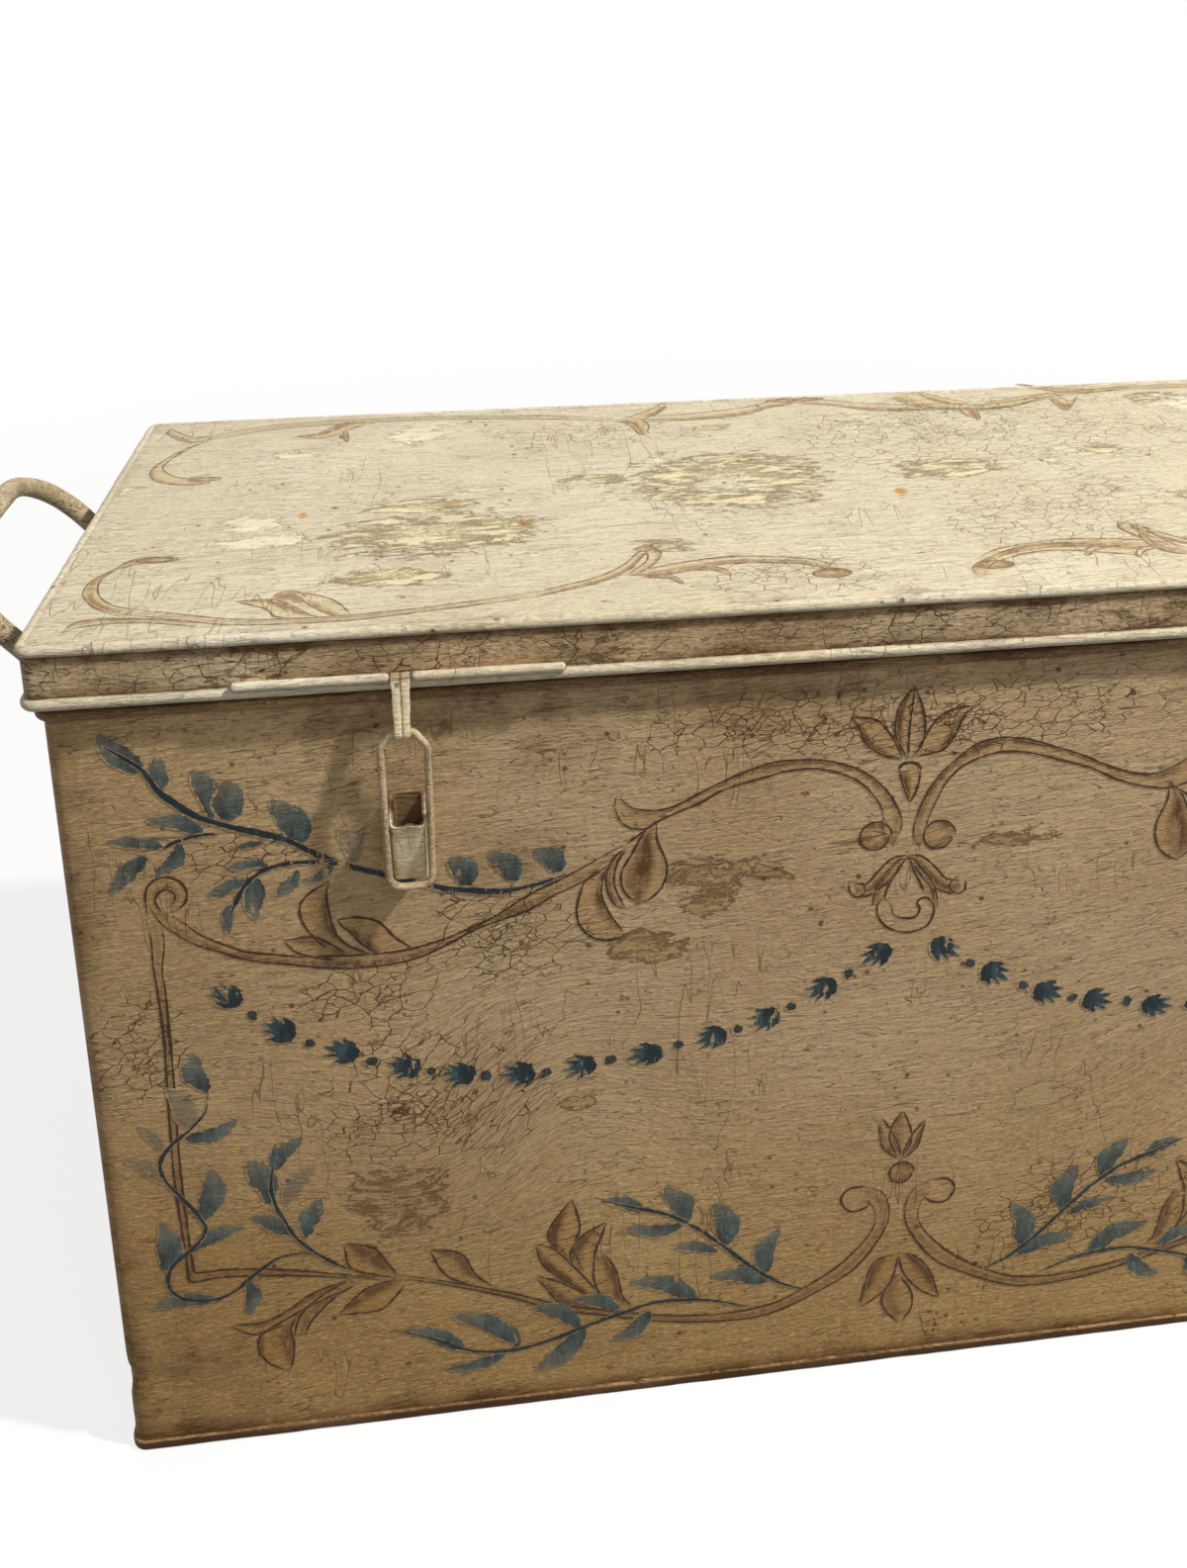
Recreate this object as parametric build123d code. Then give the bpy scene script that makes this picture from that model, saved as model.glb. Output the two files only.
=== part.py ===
"""Small painted tin trunk: sheet-steel box, hinged lid, two hasps, two end handles.

Millimetres, +Z up, +X to the right, front of the trunk towards -Y.  The origin is
the centre of the bottom, on the plane that the trunk stands on.
"""
import os
from math import cos, radians, sin, sqrt

from build123d import *

# ---------------------------------------------------------------- driving sizes
LID_WIDTH = 600.0          # outside of the lid's skirt, along X
LID_DEPTH = 222.0          # outside of the lid's skirt, along Y
HEIGHT = 340.0             # floor to the top of the closed lid
SHEET = 0.8                # tinplate thickness
CORNER_R = 4.5             # vertical corners of the lid, outside
BODY_INSET = 4.0           # the body's faces lie this far inside the lid's
LAP_WIDTH = 8.0            # front and back sheets turn round the corners and lap the ends
SKIRT_HEIGHT = 23.0        # lid top down to the bottom of the rolled edge
LIP_HEIGHT = 12.0          # body walls rise this far inside the lid's skirt

# rolled edges and seams
ROLL_R = 2.3               # rolled lower edge of the lid
ROLL_OUT = 1.4             # how far it stands out of the skirt
EDGE_WIRE_R = 1.45         # wire inside the rolled edge
WIRE_GAP = 0.05            # radial play of a wire in its roll, pin in its knuckle
TOP_SEAM_R = 2.1           # folded seam between the lid's top and skirt
TOP_SEAM_OUT = 1.3
TOP_SHEET_DROP = 0.4       # the top sheet lies this far below the seam's crown
RIM_BEAD_R = 2.7           # bead round the body that the lid's edge sits on
SEAT_GAP = 0.3             # paint-thick gap between seated parts
BASE_SEAM_HEIGHT = 4.2     # folded seam round the bottom
BASE_SEAM_OUT = 1.2
BASE_SEAM_ROUND = 0.5

# hinges
LID_OPEN = 100.0           # degrees
HINGE_FROM_END = 115.0     # from the lid's end to each hinge's middle
HINGE_WIDTH = 50.0
KNUCKLES = 5
KNUCKLE_R = 2.6
KNUCKLE_GAP = 0.3
HINGE_PIN_R = 1.5
HINGE_PIN_HEAD_R = 2.4
HINGE_PIN_HEAD = 0.8
HINGE_CLEAR = 0.5          # knuckle to the lid's rolled edge
LEAF = 1.0                 # leaf thickness
BODY_LEAF_HEIGHT = 34.0
BODY_LEAF_DROP = 5.0       # top of the body leaf's flat below the rim bead
LID_LEAF_HEIGHT = 10.5
LID_LEAF_RISE = 2.0        # bottom of the lid leaf's flat above the rolled edge
LID_ARM_ANGLE = 55.0       # where each leaf's arm meets its knuckles, in degrees from +Y
BODY_ARM_ANGLE = -40.0
RIVET_R = 1.5
RIVET_HEAD_R = 2.8
RIVET_HEAD = 1.1
RIVET_TAIL_R = 2.2
RIVET_TAIL = 0.8
RIVET_GAP = 0.05
HINGE_RIVET_X = 16.0       # rivet columns each side of the hinge's middle
BODY_RIVET_END = 6.0       # rivet rows in from the body leaf's ends
LID_RIVET_RISE = 6.3       # rivet row above the lid leaf's lower end

# hasps
HASP_FROM_END = 120.0      # from the lid's end to each hasp
TUBE_R = 1.65              # tube along the skirt that carries the strap
TUBE_LENGTH = 109.0
TUBE_WALL = 0.7
TUBE_SLOT = 7.0            # tube cut away for the strap
TUBE_SEAT = 0.05           # solder film between the tube and the lid
STRAP_PIN_R = 0.9
STRAP_WIDTH_TOP = 6.2
STRAP_WIDTH_LOW = 5.0
STRAP_THICK = 1.4
STRAP_DROP = 18.6          # pivot to the ring's top bar
STRAP_LEAN = 2.9           # the ring's top bar hangs this far in front of the pivot
EYE_WALL = 1.1
EYE_GAP = 0.08
RING_WIRE_R = 1.25
RING_WIDTH = 18.0          # outside
RING_LENGTH = 58.9         # top bar to bottom bar, on the wire's axis
RING_BEND_R = 5.2
STAPLE_WIDTH = 11.5
STAPLE_WALL = 1.0
STAPLE_BACK_DROP = 40.8    # the band's back edge below the lid's rolled edge
STAPLE_FRONT_DROP = 48.6
STAPLE_RING_CLEAR = 0.4    # the band ends this far above the ring's bottom bar
STAPLE_OUT_TOP = 9.4       # band's front face from the panel, at its top
STAPLE_OUT_BOTTOM = 6.9    # and at its bottom
STAPLE_RIVET_DROP = 55.5   # rivet below the lid's rolled edge

# handles
HANDLE_BAR_R = 4.0
HANDLE_SPAN = 111.0        # leg to leg, on the bar's axis
HANDLE_REACH = 61.0        # pivot to grip, on the bar's axis
HANDLE_CORNER_R = 30.0
HANDLE_END_R = 6.0         # bend from a leg into its turned-in end
HANDLE_END = 19.0          # length of a turned-in end, from the leg's axis
HANDLE_RAISED = 49.0       # degrees above the horizontal at rest
HANDLE_DROP = 45.0         # pivot below the top of the closed lid
HANDLE_STANDOFF = 0.6      # bar to the end panel
EYE_STRAP_WIDTH = 8.0
EYE_STRAP_IN = 7.5         # from the leg's axis to the eye's nearer side
EYE_STRAP = 1.2
EYE_STRAP_GAP = 0.06
EYE_FLANGE = 8.5
HANDLE_RIVET_OUT = 4.6     # rivet past the eye's arch

# ---------------------------------------------------------------- worked-out places
HALF_D = LID_DEPTH / 2
HINGE_X = LID_WIDTH / 2 - HINGE_FROM_END
HASP_X = LID_WIDTH / 2 - HASP_FROM_END
BODY_W = LID_WIDTH - 2 * BODY_INSET
BODY_D = LID_DEPTH - 2 * BODY_INSET
FRONT_FACE = -BODY_D / 2
BACK_FACE = BODY_D / 2
END_FACE = BODY_W / 2 - SHEET
ROLL_BOTTOM = HEIGHT - SKIRT_HEIGHT
ROLL_Z = ROLL_BOTTOM + ROLL_R
ROLL_IN = ROLL_R - ROLL_OUT
SKIRT_BOTTOM = ROLL_BOTTOM + 2 * ROLL_R
TOP_SEAM_Z = HEIGHT - TOP_SEAM_R
TOP_SEAM_IN = TOP_SEAM_R - TOP_SEAM_OUT
SKIRT_TOP = HEIGHT - 2 * TOP_SEAM_R
TOP_SHEET_Z = HEIGHT - TOP_SHEET_DROP
RIM_BEAD_Z = ROLL_BOTTOM - SEAT_GAP - RIM_BEAD_R
LIP_TOP = ROLL_BOTTOM + LIP_HEIGHT
HINGE_Y = HALF_D + ROLL_OUT + HINGE_CLEAR + KNUCKLE_R
HINGE_Z = ROLL_BOTTOM - SEAT_GAP
BODY_LEAF_TOP = RIM_BEAD_Z - RIM_BEAD_R - BODY_LEAF_DROP
LID_LEAF_BOTTOM = SKIRT_BOTTOM + LID_LEAF_RISE
TUBE_Y = -(HALF_D + TUBE_R + TUBE_SEAT)
TUBE_Z = ROLL_Z + sqrt((ROLL_R + TUBE_R + TUBE_SEAT) ** 2 - (-TUBE_Y - HALF_D + ROLL_IN) ** 2)
RING_Y = TUBE_Y - STRAP_LEAN
RING_TOP_Z = TUBE_Z - STRAP_DROP
STAPLE_BACK_TOP = ROLL_BOTTOM - STAPLE_BACK_DROP
STAPLE_FRONT_TOP = ROLL_BOTTOM - STAPLE_FRONT_DROP
STAPLE_BOTTOM = RING_TOP_Z - RING_LENGTH + RING_WIRE_R + STAPLE_RING_CLEAR
STAPLE_RIVET_Z = ROLL_BOTTOM - STAPLE_RIVET_DROP
HANDLE_PIVOT_Z = HEIGHT - HANDLE_DROP
HANDLE_X = END_FACE + HANDLE_BAR_R + HANDLE_STANDOFF
EYE_Y = HANDLE_SPAN / 2 - EYE_STRAP_IN - EYE_STRAP_WIDTH / 2
EYE_OUTER_R = HANDLE_BAR_R + EYE_STRAP_GAP + EYE_STRAP
SIDES = {"left": -1, "right": 1}


# ---------------------------------------------------------------- shared shapes
def write(name, shape):
    """Writes one node's solids."""
    shape.label = name
    export_step(shape, f"parts/{name}.step")


def slab(width, depth, radius, bottom, top):
    """Upright prism with a rounded-rectangle plan, centred on the trunk."""
    return Pos(0, 0, bottom) * extrude(RectangleRounded(width, depth, radius), top - bottom)


def band(width, depth, radius, wall, bottom, top):
    """Upright tube with a rounded-rectangle plan and a thin wall inwards."""
    outside = slab(width, depth, radius, bottom, top)
    return outside - slab(width - 2 * wall, depth - 2 * wall, radius - wall, bottom, top)


def edge_ring(width, depth, radius, height, bar_r):
    """Round bar that runs once round a rounded rectangle at one height."""
    path = (Pos(0, 0, height) * RectangleRounded(width, depth, radius)).wire()
    return sweep(Plane(path @ 0, z_dir=path % 0) * Circle(bar_r), path=path)


def lapped_sheet(width, depth, bottom, top, facing):
    """Front (facing -1) or back (facing 1) sheet, turned round both corners."""
    reach = CORNER_R + LAP_WIDTH
    keep = Pos(0, facing * (depth - reach) / 2, (bottom + top) / 2)
    keep *= Box(width, reach, top - bottom)
    return band(width, depth, CORNER_R, SHEET, bottom, top) & keep


def end_sheet(width, depth, bottom, top, side):
    """Flat end sheet, held inside the laps of the front and back sheets."""
    middle = side * (width / 2 - 1.5 * SHEET)
    return Pos(middle, 0, (bottom + top) / 2) * Box(SHEET, depth - 2 * CORNER_R, top - bottom)


def bar_along_x(x_from, x_to, y, z, radius):
    """Round bar parallel to X."""
    return Pos((x_from + x_to) / 2, y, z) * Rot(0, 90, 0) * Cylinder(radius, x_to - x_from)


def x_profile(face, x_from, x_to):
    """Solid from a face drawn in (Y, Z), drawn out along X."""
    return extrude(Plane.YZ.offset(x_from) * face, x_to - x_from)


def thick_line(start, end, thickness):
    """Flat strip between two points, as a face."""
    run = Vector(*end) - Vector(*start)
    side = Vector(-run.Y, run.X).normalized() * (thickness / 2)
    a, b = Vector(*start), Vector(*end)
    return make_face(Polyline(a + side, b + side, b - side, a - side, close=True))


def disc(y, z, radius):
    return Pos(y, z) * Circle(radius)


def bent_wire(points, bends, plane):
    """Wire path through points in a plane, with an arc of its own at each inner point."""
    corners = [Vector(*p) for p in points]
    start = corners[0]
    edges = []
    for i, bend in enumerate(bends, 1):
        to_last = (corners[i - 1] - corners[i]).normalized()
        to_next = (corners[i + 1] - corners[i]).normalized()
        half_angle = radians(to_last.get_angle(to_next)) / 2
        middle = (to_last + to_next).normalized()
        setback = bend * cos(half_angle) / sin(half_angle)
        enter, leave = corners[i] + to_last * setback, corners[i] + to_next * setback
        nearest = corners[i] + middle * (bend / sin(half_angle) - bend)
        edges += [Line(start, enter), ThreePointArc(enter, nearest, leave)]
        start = leave
    if corners[0] != corners[-1]:
        edges.append(Line(start, corners[-1]))
    else:
        edges.append(Line(start, edges[0] @ 0))
    return plane * Wire(edges)


def round_bar(path, radius):
    return sweep(Plane(path @ 0, z_dir=path % 0) * Circle(radius), path=path)


def outward(x, y, z, direction):
    """Placing for a rivet whose head faces a horizontal direction."""
    return Plane((x, y, z), z_dir=direction).location


def rivet(place, grip):
    """Rivet at its head's seat: head outside, shank through the grip, tail inside."""
    shank = Pos(0, 0, -grip / 2) * Cylinder(RIVET_R, grip)
    crown = Pos(0, 0, RIVET_HEAD / 2) * Cylinder(RIVET_HEAD_R, RIVET_HEAD)
    crown = chamfer(crown.edges().group_by(Axis.Z)[-1], RIVET_HEAD / 2)
    tail = Pos(0, 0, -grip - RIVET_TAIL / 2) * Cylinder(RIVET_TAIL_R, RIVET_TAIL)
    return place * (shank + crown + tail)


def rivet_hole(place):
    """Drill through the leaf or strap and the sheet behind it."""
    depth = 2 * (EYE_STRAP + SHEET)
    return place * Cylinder(RIVET_R + RIVET_GAP, 2 * depth)


# ---------------------------------------------------------------- rivet places
def staple_rivet_places():
    y = FRONT_FACE - STAPLE_WALL
    return [outward(s * HASP_X, y, STAPLE_RIVET_Z, (0, -1, 0)) for s in SIDES.values()]


def body_hinge_rivet_places():
    rows = (BODY_LEAF_TOP - BODY_RIVET_END, BODY_LEAF_TOP - BODY_LEAF_HEIGHT + BODY_RIVET_END)
    columns = [s * HINGE_X + c * HINGE_RIVET_X for s in SIDES.values() for c in (-1, 1)]
    return [outward(x, BACK_FACE + LEAF, z, (0, 1, 0)) for x in columns for z in rows]


def lid_hinge_rivet_places():
    z = LID_LEAF_BOTTOM + LID_RIVET_RISE
    columns = [s * HINGE_X + c * HINGE_RIVET_X for s in SIDES.values() for c in (-1, 1)]
    return [outward(x, HALF_D + LEAF, z, (0, 1, 0)) for x in columns]


def handle_rivet_places():
    places = []
    for side in SIDES.values():
        for y in (-EYE_Y, EYE_Y):
            for up in (-1, 1):
                z = HANDLE_PIVOT_Z + up * (EYE_OUTER_R + HANDLE_RIVET_OUT - EYE_STRAP / 2)
                places.append(outward(side * (END_FACE + EYE_STRAP), y, z, (side, 0, 0)))
    return places


def pierced(shape, places):
    """Cuts the rivet holes that pass through a shape."""
    for place in places:
        shape -= rivet_hole(place)
    return shape


# ---------------------------------------------------------------- body of the trunk
def body_sheets():
    sheets = {
        "body_front": lapped_sheet(BODY_W, BODY_D, SHEET, LIP_TOP, -1),
        "body_back": lapped_sheet(BODY_W, BODY_D, SHEET, LIP_TOP, 1),
        "body_bottom": slab(BODY_W, BODY_D, CORNER_R, 0, SHEET),
    }
    for name, side in SIDES.items():
        sheets[f"body_end_{name}"] = end_sheet(BODY_W, BODY_D, SHEET, LIP_TOP, side)
    sheets["body_front"] = pierced(sheets["body_front"], staple_rivet_places())
    sheets["body_back"] = pierced(sheets["body_back"], body_hinge_rivet_places())
    places = handle_rivet_places()
    half = len(places) // 2
    sheets["body_end_left"] = pierced(sheets["body_end_left"], places[:half])
    sheets["body_end_right"] = pierced(sheets["body_end_right"], places[half:])
    return sheets


def base_seam():
    """Folded seam that stands a little outside the walls, round the bottom."""
    outside = slab(
        BODY_W + 2 * BASE_SEAM_OUT, BODY_D + 2 * BASE_SEAM_OUT, CORNER_R + BASE_SEAM_OUT,
        0, BASE_SEAM_HEIGHT,
    )
    rims = outside.edges().group_by(Axis.Z)[0] + outside.edges().group_by(Axis.Z)[-1]
    outside = fillet(rims, BASE_SEAM_ROUND)
    return outside - slab(BODY_W, BODY_D, CORNER_R, 0, BASE_SEAM_HEIGHT)


def rim_bead():
    """Half-round bead outside the walls, under the lid's rolled edge."""
    bar = edge_ring(BODY_W, BODY_D, CORNER_R, RIM_BEAD_Z, RIM_BEAD_R)
    return bar - slab(BODY_W, BODY_D, CORNER_R, RIM_BEAD_Z - RIM_BEAD_R, RIM_BEAD_Z + RIM_BEAD_R)


# ---------------------------------------------------------------- lid
def lid_sheets():
    sheets = {
        "lid_skirt_front": lapped_sheet(LID_WIDTH, LID_DEPTH, SKIRT_BOTTOM, SKIRT_TOP, -1),
        "lid_skirt_back": lapped_sheet(LID_WIDTH, LID_DEPTH, SKIRT_BOTTOM, SKIRT_TOP, 1),
    }
    for name, side in SIDES.items():
        sheets[f"lid_skirt_{name}"] = end_sheet(
            LID_WIDTH, LID_DEPTH, SKIRT_BOTTOM, SKIRT_TOP, side
        )
    sheets["lid_skirt_back"] = pierced(sheets["lid_skirt_back"], lid_hinge_rivet_places())
    return sheets


def lid_top():
    """Top sheet, its edges caught by the folded seam."""
    under = TOP_SHEET_Z - SHEET
    caught = sqrt(TOP_SEAM_R**2 - (under - TOP_SEAM_Z) ** 2)
    inset = TOP_SEAM_IN + caught
    return slab(
        LID_WIDTH - 2 * inset, LID_DEPTH - 2 * inset, CORNER_R - inset + SHEET, under, TOP_SHEET_Z
    )


def lid_edge(inset, height, bar_r):
    return edge_ring(
        LID_WIDTH - 2 * inset, LID_DEPTH - 2 * inset, CORNER_R - inset, height, bar_r
    )


def lid_roll():
    tube = lid_edge(ROLL_IN, ROLL_Z, ROLL_R)
    return tube - lid_edge(ROLL_IN, ROLL_Z, EDGE_WIRE_R + WIRE_GAP)


# ---------------------------------------------------------------- hinges
def knuckle_spans(middle, lid):
    """X spans of the knuckles of one leaf: the lid has every second one."""
    pitch = HINGE_WIDTH / KNUCKLES
    left = middle - HINGE_WIDTH / 2
    return [
        (left + i * pitch + KNUCKLE_GAP / 2, left + (i + 1) * pitch - KNUCKLE_GAP / 2)
        for i in range(KNUCKLES)
        if (i % 2 == 1) == lid
    ]


def knuckle_point(degrees):
    """Point on the middle of a knuckle's wall, as an angle from +Y."""
    middle = KNUCKLE_R - LEAF / 2
    return (HINGE_Y + middle * cos(radians(degrees)), HINGE_Z + middle * sin(radians(degrees)))


def hinge_leaf(middle, lid):
    """Leaf with a flat on the trunk, an arm past the beads and rolled knuckles."""
    if lid:
        face, low, high = HALF_D, LID_LEAF_BOTTOM, LID_LEAF_BOTTOM + LID_LEAF_HEIGHT
        arm_root, arm_tip = (face + LEAF / 2, low + LEAF), knuckle_point(LID_ARM_ANGLE)
        places = lid_hinge_rivet_places()
    else:
        face, low, high = BACK_FACE, BODY_LEAF_TOP - BODY_LEAF_HEIGHT, BODY_LEAF_TOP
        arm_root, arm_tip = (face + LEAF / 2, high - LEAF), knuckle_point(BODY_ARM_ANGLE)
        places = body_hinge_rivet_places()
    flat = Pos(middle, face + LEAF / 2, (low + high) / 2) * Box(HINGE_WIDTH, LEAF, high - low)
    inside = Pos(middle, face - LEAF / 2, (low + high) / 2) * Box(HINGE_WIDTH, LEAF, 2 * high)
    leaf = flat
    for x_from, x_to in knuckle_spans(middle, lid):
        profile = thick_line(arm_root, arm_tip, LEAF) + disc(HINGE_Y, HINGE_Z, KNUCKLE_R)
        leaf += x_profile(profile, x_from, x_to)
    leaf -= inside
    bore = HINGE_PIN_R + WIRE_GAP
    leaf -= bar_along_x(middle - HINGE_WIDTH, middle + HINGE_WIDTH, HINGE_Y, HINGE_Z, bore)
    return pierced(leaf, places)


def hinge_pin(middle):
    half = HINGE_WIDTH / 2
    pin = bar_along_x(middle - half, middle + half, HINGE_Y, HINGE_Z, HINGE_PIN_R)
    for end in (-1, 1):
        seat = middle + end * half
        far = seat + end * HINGE_PIN_HEAD
        pin += bar_along_x(min(seat, far), max(seat, far), HINGE_Y, HINGE_Z, HINGE_PIN_HEAD_R)
    return pin


# ---------------------------------------------------------------- hasps
def hasp_tube(middle, end):
    """One half of the tube on the skirt; the strap hangs between the halves."""
    near = middle + end * TUBE_SLOT / 2
    far = middle + end * TUBE_LENGTH / 2
    low, high = min(near, far), max(near, far)
    tube = bar_along_x(low, high, TUBE_Y, TUBE_Z, TUBE_R)
    return tube - bar_along_x(low, high, TUBE_Y, TUBE_Z, TUBE_R - TUBE_WALL)


def strap_pin(middle):
    half = TUBE_LENGTH / 2
    return bar_along_x(middle - half, middle + half, TUBE_Y, TUBE_Z, STRAP_PIN_R)


def strap(middle):
    """Folded strip: knuckle on the tube's pin, flat in front of the beads, eye below."""
    eye_r = RING_WIRE_R + EYE_GAP + EYE_WALL
    lean = Vector(STRAP_LEAN + eye_r - TUBE_R, STRAP_DROP).normalized()
    front_top = Vector(TUBE_Y - TUBE_R * lean.Y, TUBE_Z + TUBE_R * lean.X)
    front_low = Vector(RING_Y - eye_r * lean.Y, RING_TOP_Z + eye_r * lean.X)
    inward = Vector(lean.Y, -lean.X) * (STRAP_THICK / 2)
    flat = thick_line(
        (front_top.X + inward.X, front_top.Y + inward.Y),
        (front_low.X + inward.X, front_low.Y + inward.Y),
        STRAP_THICK,
    )
    profile = flat + disc(TUBE_Y, TUBE_Z, TUBE_R) + disc(RING_Y, RING_TOP_Z, eye_r)
    profile -= disc(TUBE_Y, TUBE_Z, STRAP_PIN_R + WIRE_GAP)
    profile -= disc(RING_Y, RING_TOP_Z, RING_WIRE_R + EYE_GAP)
    solid = x_profile(profile, middle - STRAP_WIDTH_TOP / 2, middle + STRAP_WIDTH_TOP / 2)
    top, low = STRAP_WIDTH_TOP / 2, STRAP_WIDTH_LOW / 2
    outline = make_face(Polyline(
        (middle - top, TUBE_Z + TUBE_R), (middle + top, TUBE_Z + TUBE_R),
        (middle + low, RING_TOP_Z - eye_r), (middle - low, RING_TOP_Z - eye_r), close=True,
    ))
    return solid & extrude(Plane.XZ * outline, 2 * HALF_D)


def ring(middle):
    """Closed oblong wire link that hangs in the strap's eye."""
    half = RING_WIDTH / 2 - RING_WIRE_R
    low = RING_TOP_Z - RING_LENGTH
    points = [
        (middle, RING_TOP_Z), (middle + half, RING_TOP_Z), (middle + half, low),
        (middle - half, low), (middle - half, RING_TOP_Z), (middle, RING_TOP_Z),
    ]
    plane = Plane((0, RING_Y, 0), x_dir=(1, 0, 0), z_dir=(0, -1, 0))
    return round_bar(bent_wire(points, [RING_BEND_R] * 4, plane), RING_WIRE_R)


def staple(middle):
    """Upright band riveted to the front, cut away in front at the top; a lock goes through."""
    back = FRONT_FACE
    out_top, out_low = back - STAPLE_OUT_TOP, back - STAPLE_OUT_BOTTOM
    outer = make_face(Polyline(
        (back, STAPLE_BACK_TOP), (back, STAPLE_BOTTOM), (out_low, STAPLE_BOTTOM),
        (out_top, STAPLE_FRONT_TOP), close=True,
    ))
    inner = make_face(Polyline(
        (back - STAPLE_WALL, HEIGHT), (back - STAPLE_WALL, 0),
        (out_low + STAPLE_WALL, 0), (out_low + STAPLE_WALL, STAPLE_BOTTOM),
        (out_top + STAPLE_WALL, STAPLE_FRONT_TOP), (out_top + STAPLE_WALL, HEIGHT), close=True,
    ))
    half = STAPLE_WIDTH / 2
    shape = x_profile(outer, middle - half, middle + half)
    shape -= x_profile(inner, middle - half + STAPLE_WALL, middle + half - STAPLE_WALL)
    return pierced(shape, staple_rivet_places())


# ---------------------------------------------------------------- handles
def handle(side):
    """Round-bar bail, stored raised, with both ends turned in to its eyes."""
    half = HANDLE_SPAN / 2
    turned = half - HANDLE_END
    points = [
        (0, turned), (0, half), (HANDLE_REACH, half),
        (HANDLE_REACH, -half), (0, -half), (0, -turned),
    ]
    bends = [HANDLE_END_R, HANDLE_CORNER_R, HANDLE_CORNER_R, HANDLE_END_R]
    rise = radians(HANDLE_RAISED)
    plane = Plane(
        (side * HANDLE_X, 0, HANDLE_PIVOT_Z),
        x_dir=(side * cos(rise), 0, sin(rise)),
        z_dir=(sin(rise), 0, -side * cos(rise)),
    )
    return round_bar(bent_wire(points, bends, plane), HANDLE_BAR_R)


def handle_eye(side, y):
    """Pressed strap that arches over a handle end and is riveted above and below it."""
    inner_r = HANDLE_BAR_R + EYE_STRAP_GAP
    axis = HANDLE_BAR_R + HANDLE_STANDOFF
    reach = EYE_OUTER_R + EYE_FLANGE - EYE_STRAP
    flange = Pos(EYE_STRAP / 2, 0) * Rectangle(EYE_STRAP, 2 * reach)
    arch = Pos(axis / 2, 0) * Rectangle(axis, 2 * EYE_OUTER_R) + Pos(axis, 0) * Circle(EYE_OUTER_R)
    hollow = Pos(axis / 2, 0) * Rectangle(axis, 2 * inner_r) + Pos(axis, 0) * Circle(inner_r)
    behind = Pos(-axis / 2, 0) * Rectangle(axis, 4 * EYE_OUTER_R)
    profile = flange + arch - hollow - behind
    plane = Plane((side * END_FACE, y, HANDLE_PIVOT_Z), x_dir=(side, 0, 0), z_dir=(0, -side, 0))
    shape = extrude(plane * profile, EYE_STRAP_WIDTH / 2, both=True)
    return pierced(shape, handle_rivet_places())


# ---------------------------------------------------------------- writing the nodes
def main():
    os.makedirs("parts", exist_ok=True)
    for name, shape in {**body_sheets(), **lid_sheets()}.items():
        write(name, shape)
    write("base_seam", base_seam())
    write("rim_bead", rim_bead())
    write("lid_top", lid_top())
    write("lid_top_seam", lid_edge(TOP_SEAM_IN, TOP_SEAM_Z, TOP_SEAM_R))
    write("lid_rolled_edge", lid_roll())
    write("lid_edge_wire", lid_edge(ROLL_IN, ROLL_Z, EDGE_WIRE_R))

    for name, side in SIDES.items():
        hinge_x, hasp_x = side * HINGE_X, side * HASP_X
        write(f"hinge_leaf_body_{name}", hinge_leaf(hinge_x, lid=False))
        write(f"hinge_leaf_lid_{name}", hinge_leaf(hinge_x, lid=True))
        write(f"hinge_pin_{name}", hinge_pin(hinge_x))
        write(f"hasp_tube_{name}_a", hasp_tube(hasp_x, -1))
        write(f"hasp_tube_{name}_b", hasp_tube(hasp_x, 1))
        write(f"hasp_pin_{name}", strap_pin(hasp_x))
        write(f"hasp_strap_{name}", strap(hasp_x))
        write(f"hasp_ring_{name}", ring(hasp_x))
        write(f"staple_{name}", staple(hasp_x))
        write(f"handle_{name}", handle(side))
        write(f"handle_eye_{name}_front", handle_eye(side, -EYE_Y))
        write(f"handle_eye_{name}_back", handle_eye(side, EYE_Y))

    body_grip = LEAF + SHEET
    write("hinge_rivets_body", Compound([rivet(p, body_grip) for p in body_hinge_rivet_places()]))
    write("hinge_rivets_lid", Compound([rivet(p, body_grip) for p in lid_hinge_rivet_places()]))
    grip = STAPLE_WALL + SHEET
    write("staple_rivets", Compound([rivet(p, grip) for p in staple_rivet_places()]))
    grip = EYE_STRAP + SHEET
    write("handle_rivets", Compound([rivet(p, grip) for p in handle_rivet_places()]))


main()
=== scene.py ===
"""Small painted tin trunk: aged cream paint, brown scrollwork and blue sprigs.

Lengths in this file are millimetres in the trunk's frame, and become metres in mesh().
"""
import math
import random

import bpy
import numpy as np
from mathutils import Euler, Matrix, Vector


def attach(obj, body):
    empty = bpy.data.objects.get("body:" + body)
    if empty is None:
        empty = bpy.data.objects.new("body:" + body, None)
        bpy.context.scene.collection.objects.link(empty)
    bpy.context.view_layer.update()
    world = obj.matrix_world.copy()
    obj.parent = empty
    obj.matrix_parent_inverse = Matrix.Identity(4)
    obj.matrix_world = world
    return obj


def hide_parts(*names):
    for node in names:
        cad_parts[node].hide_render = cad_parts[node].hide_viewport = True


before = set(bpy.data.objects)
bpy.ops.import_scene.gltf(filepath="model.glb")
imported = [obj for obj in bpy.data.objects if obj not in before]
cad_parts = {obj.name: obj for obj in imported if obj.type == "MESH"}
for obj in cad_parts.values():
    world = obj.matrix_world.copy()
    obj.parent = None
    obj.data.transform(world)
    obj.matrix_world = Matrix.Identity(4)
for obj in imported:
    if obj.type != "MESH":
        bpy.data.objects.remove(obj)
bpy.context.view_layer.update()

MM = 0.001

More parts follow.
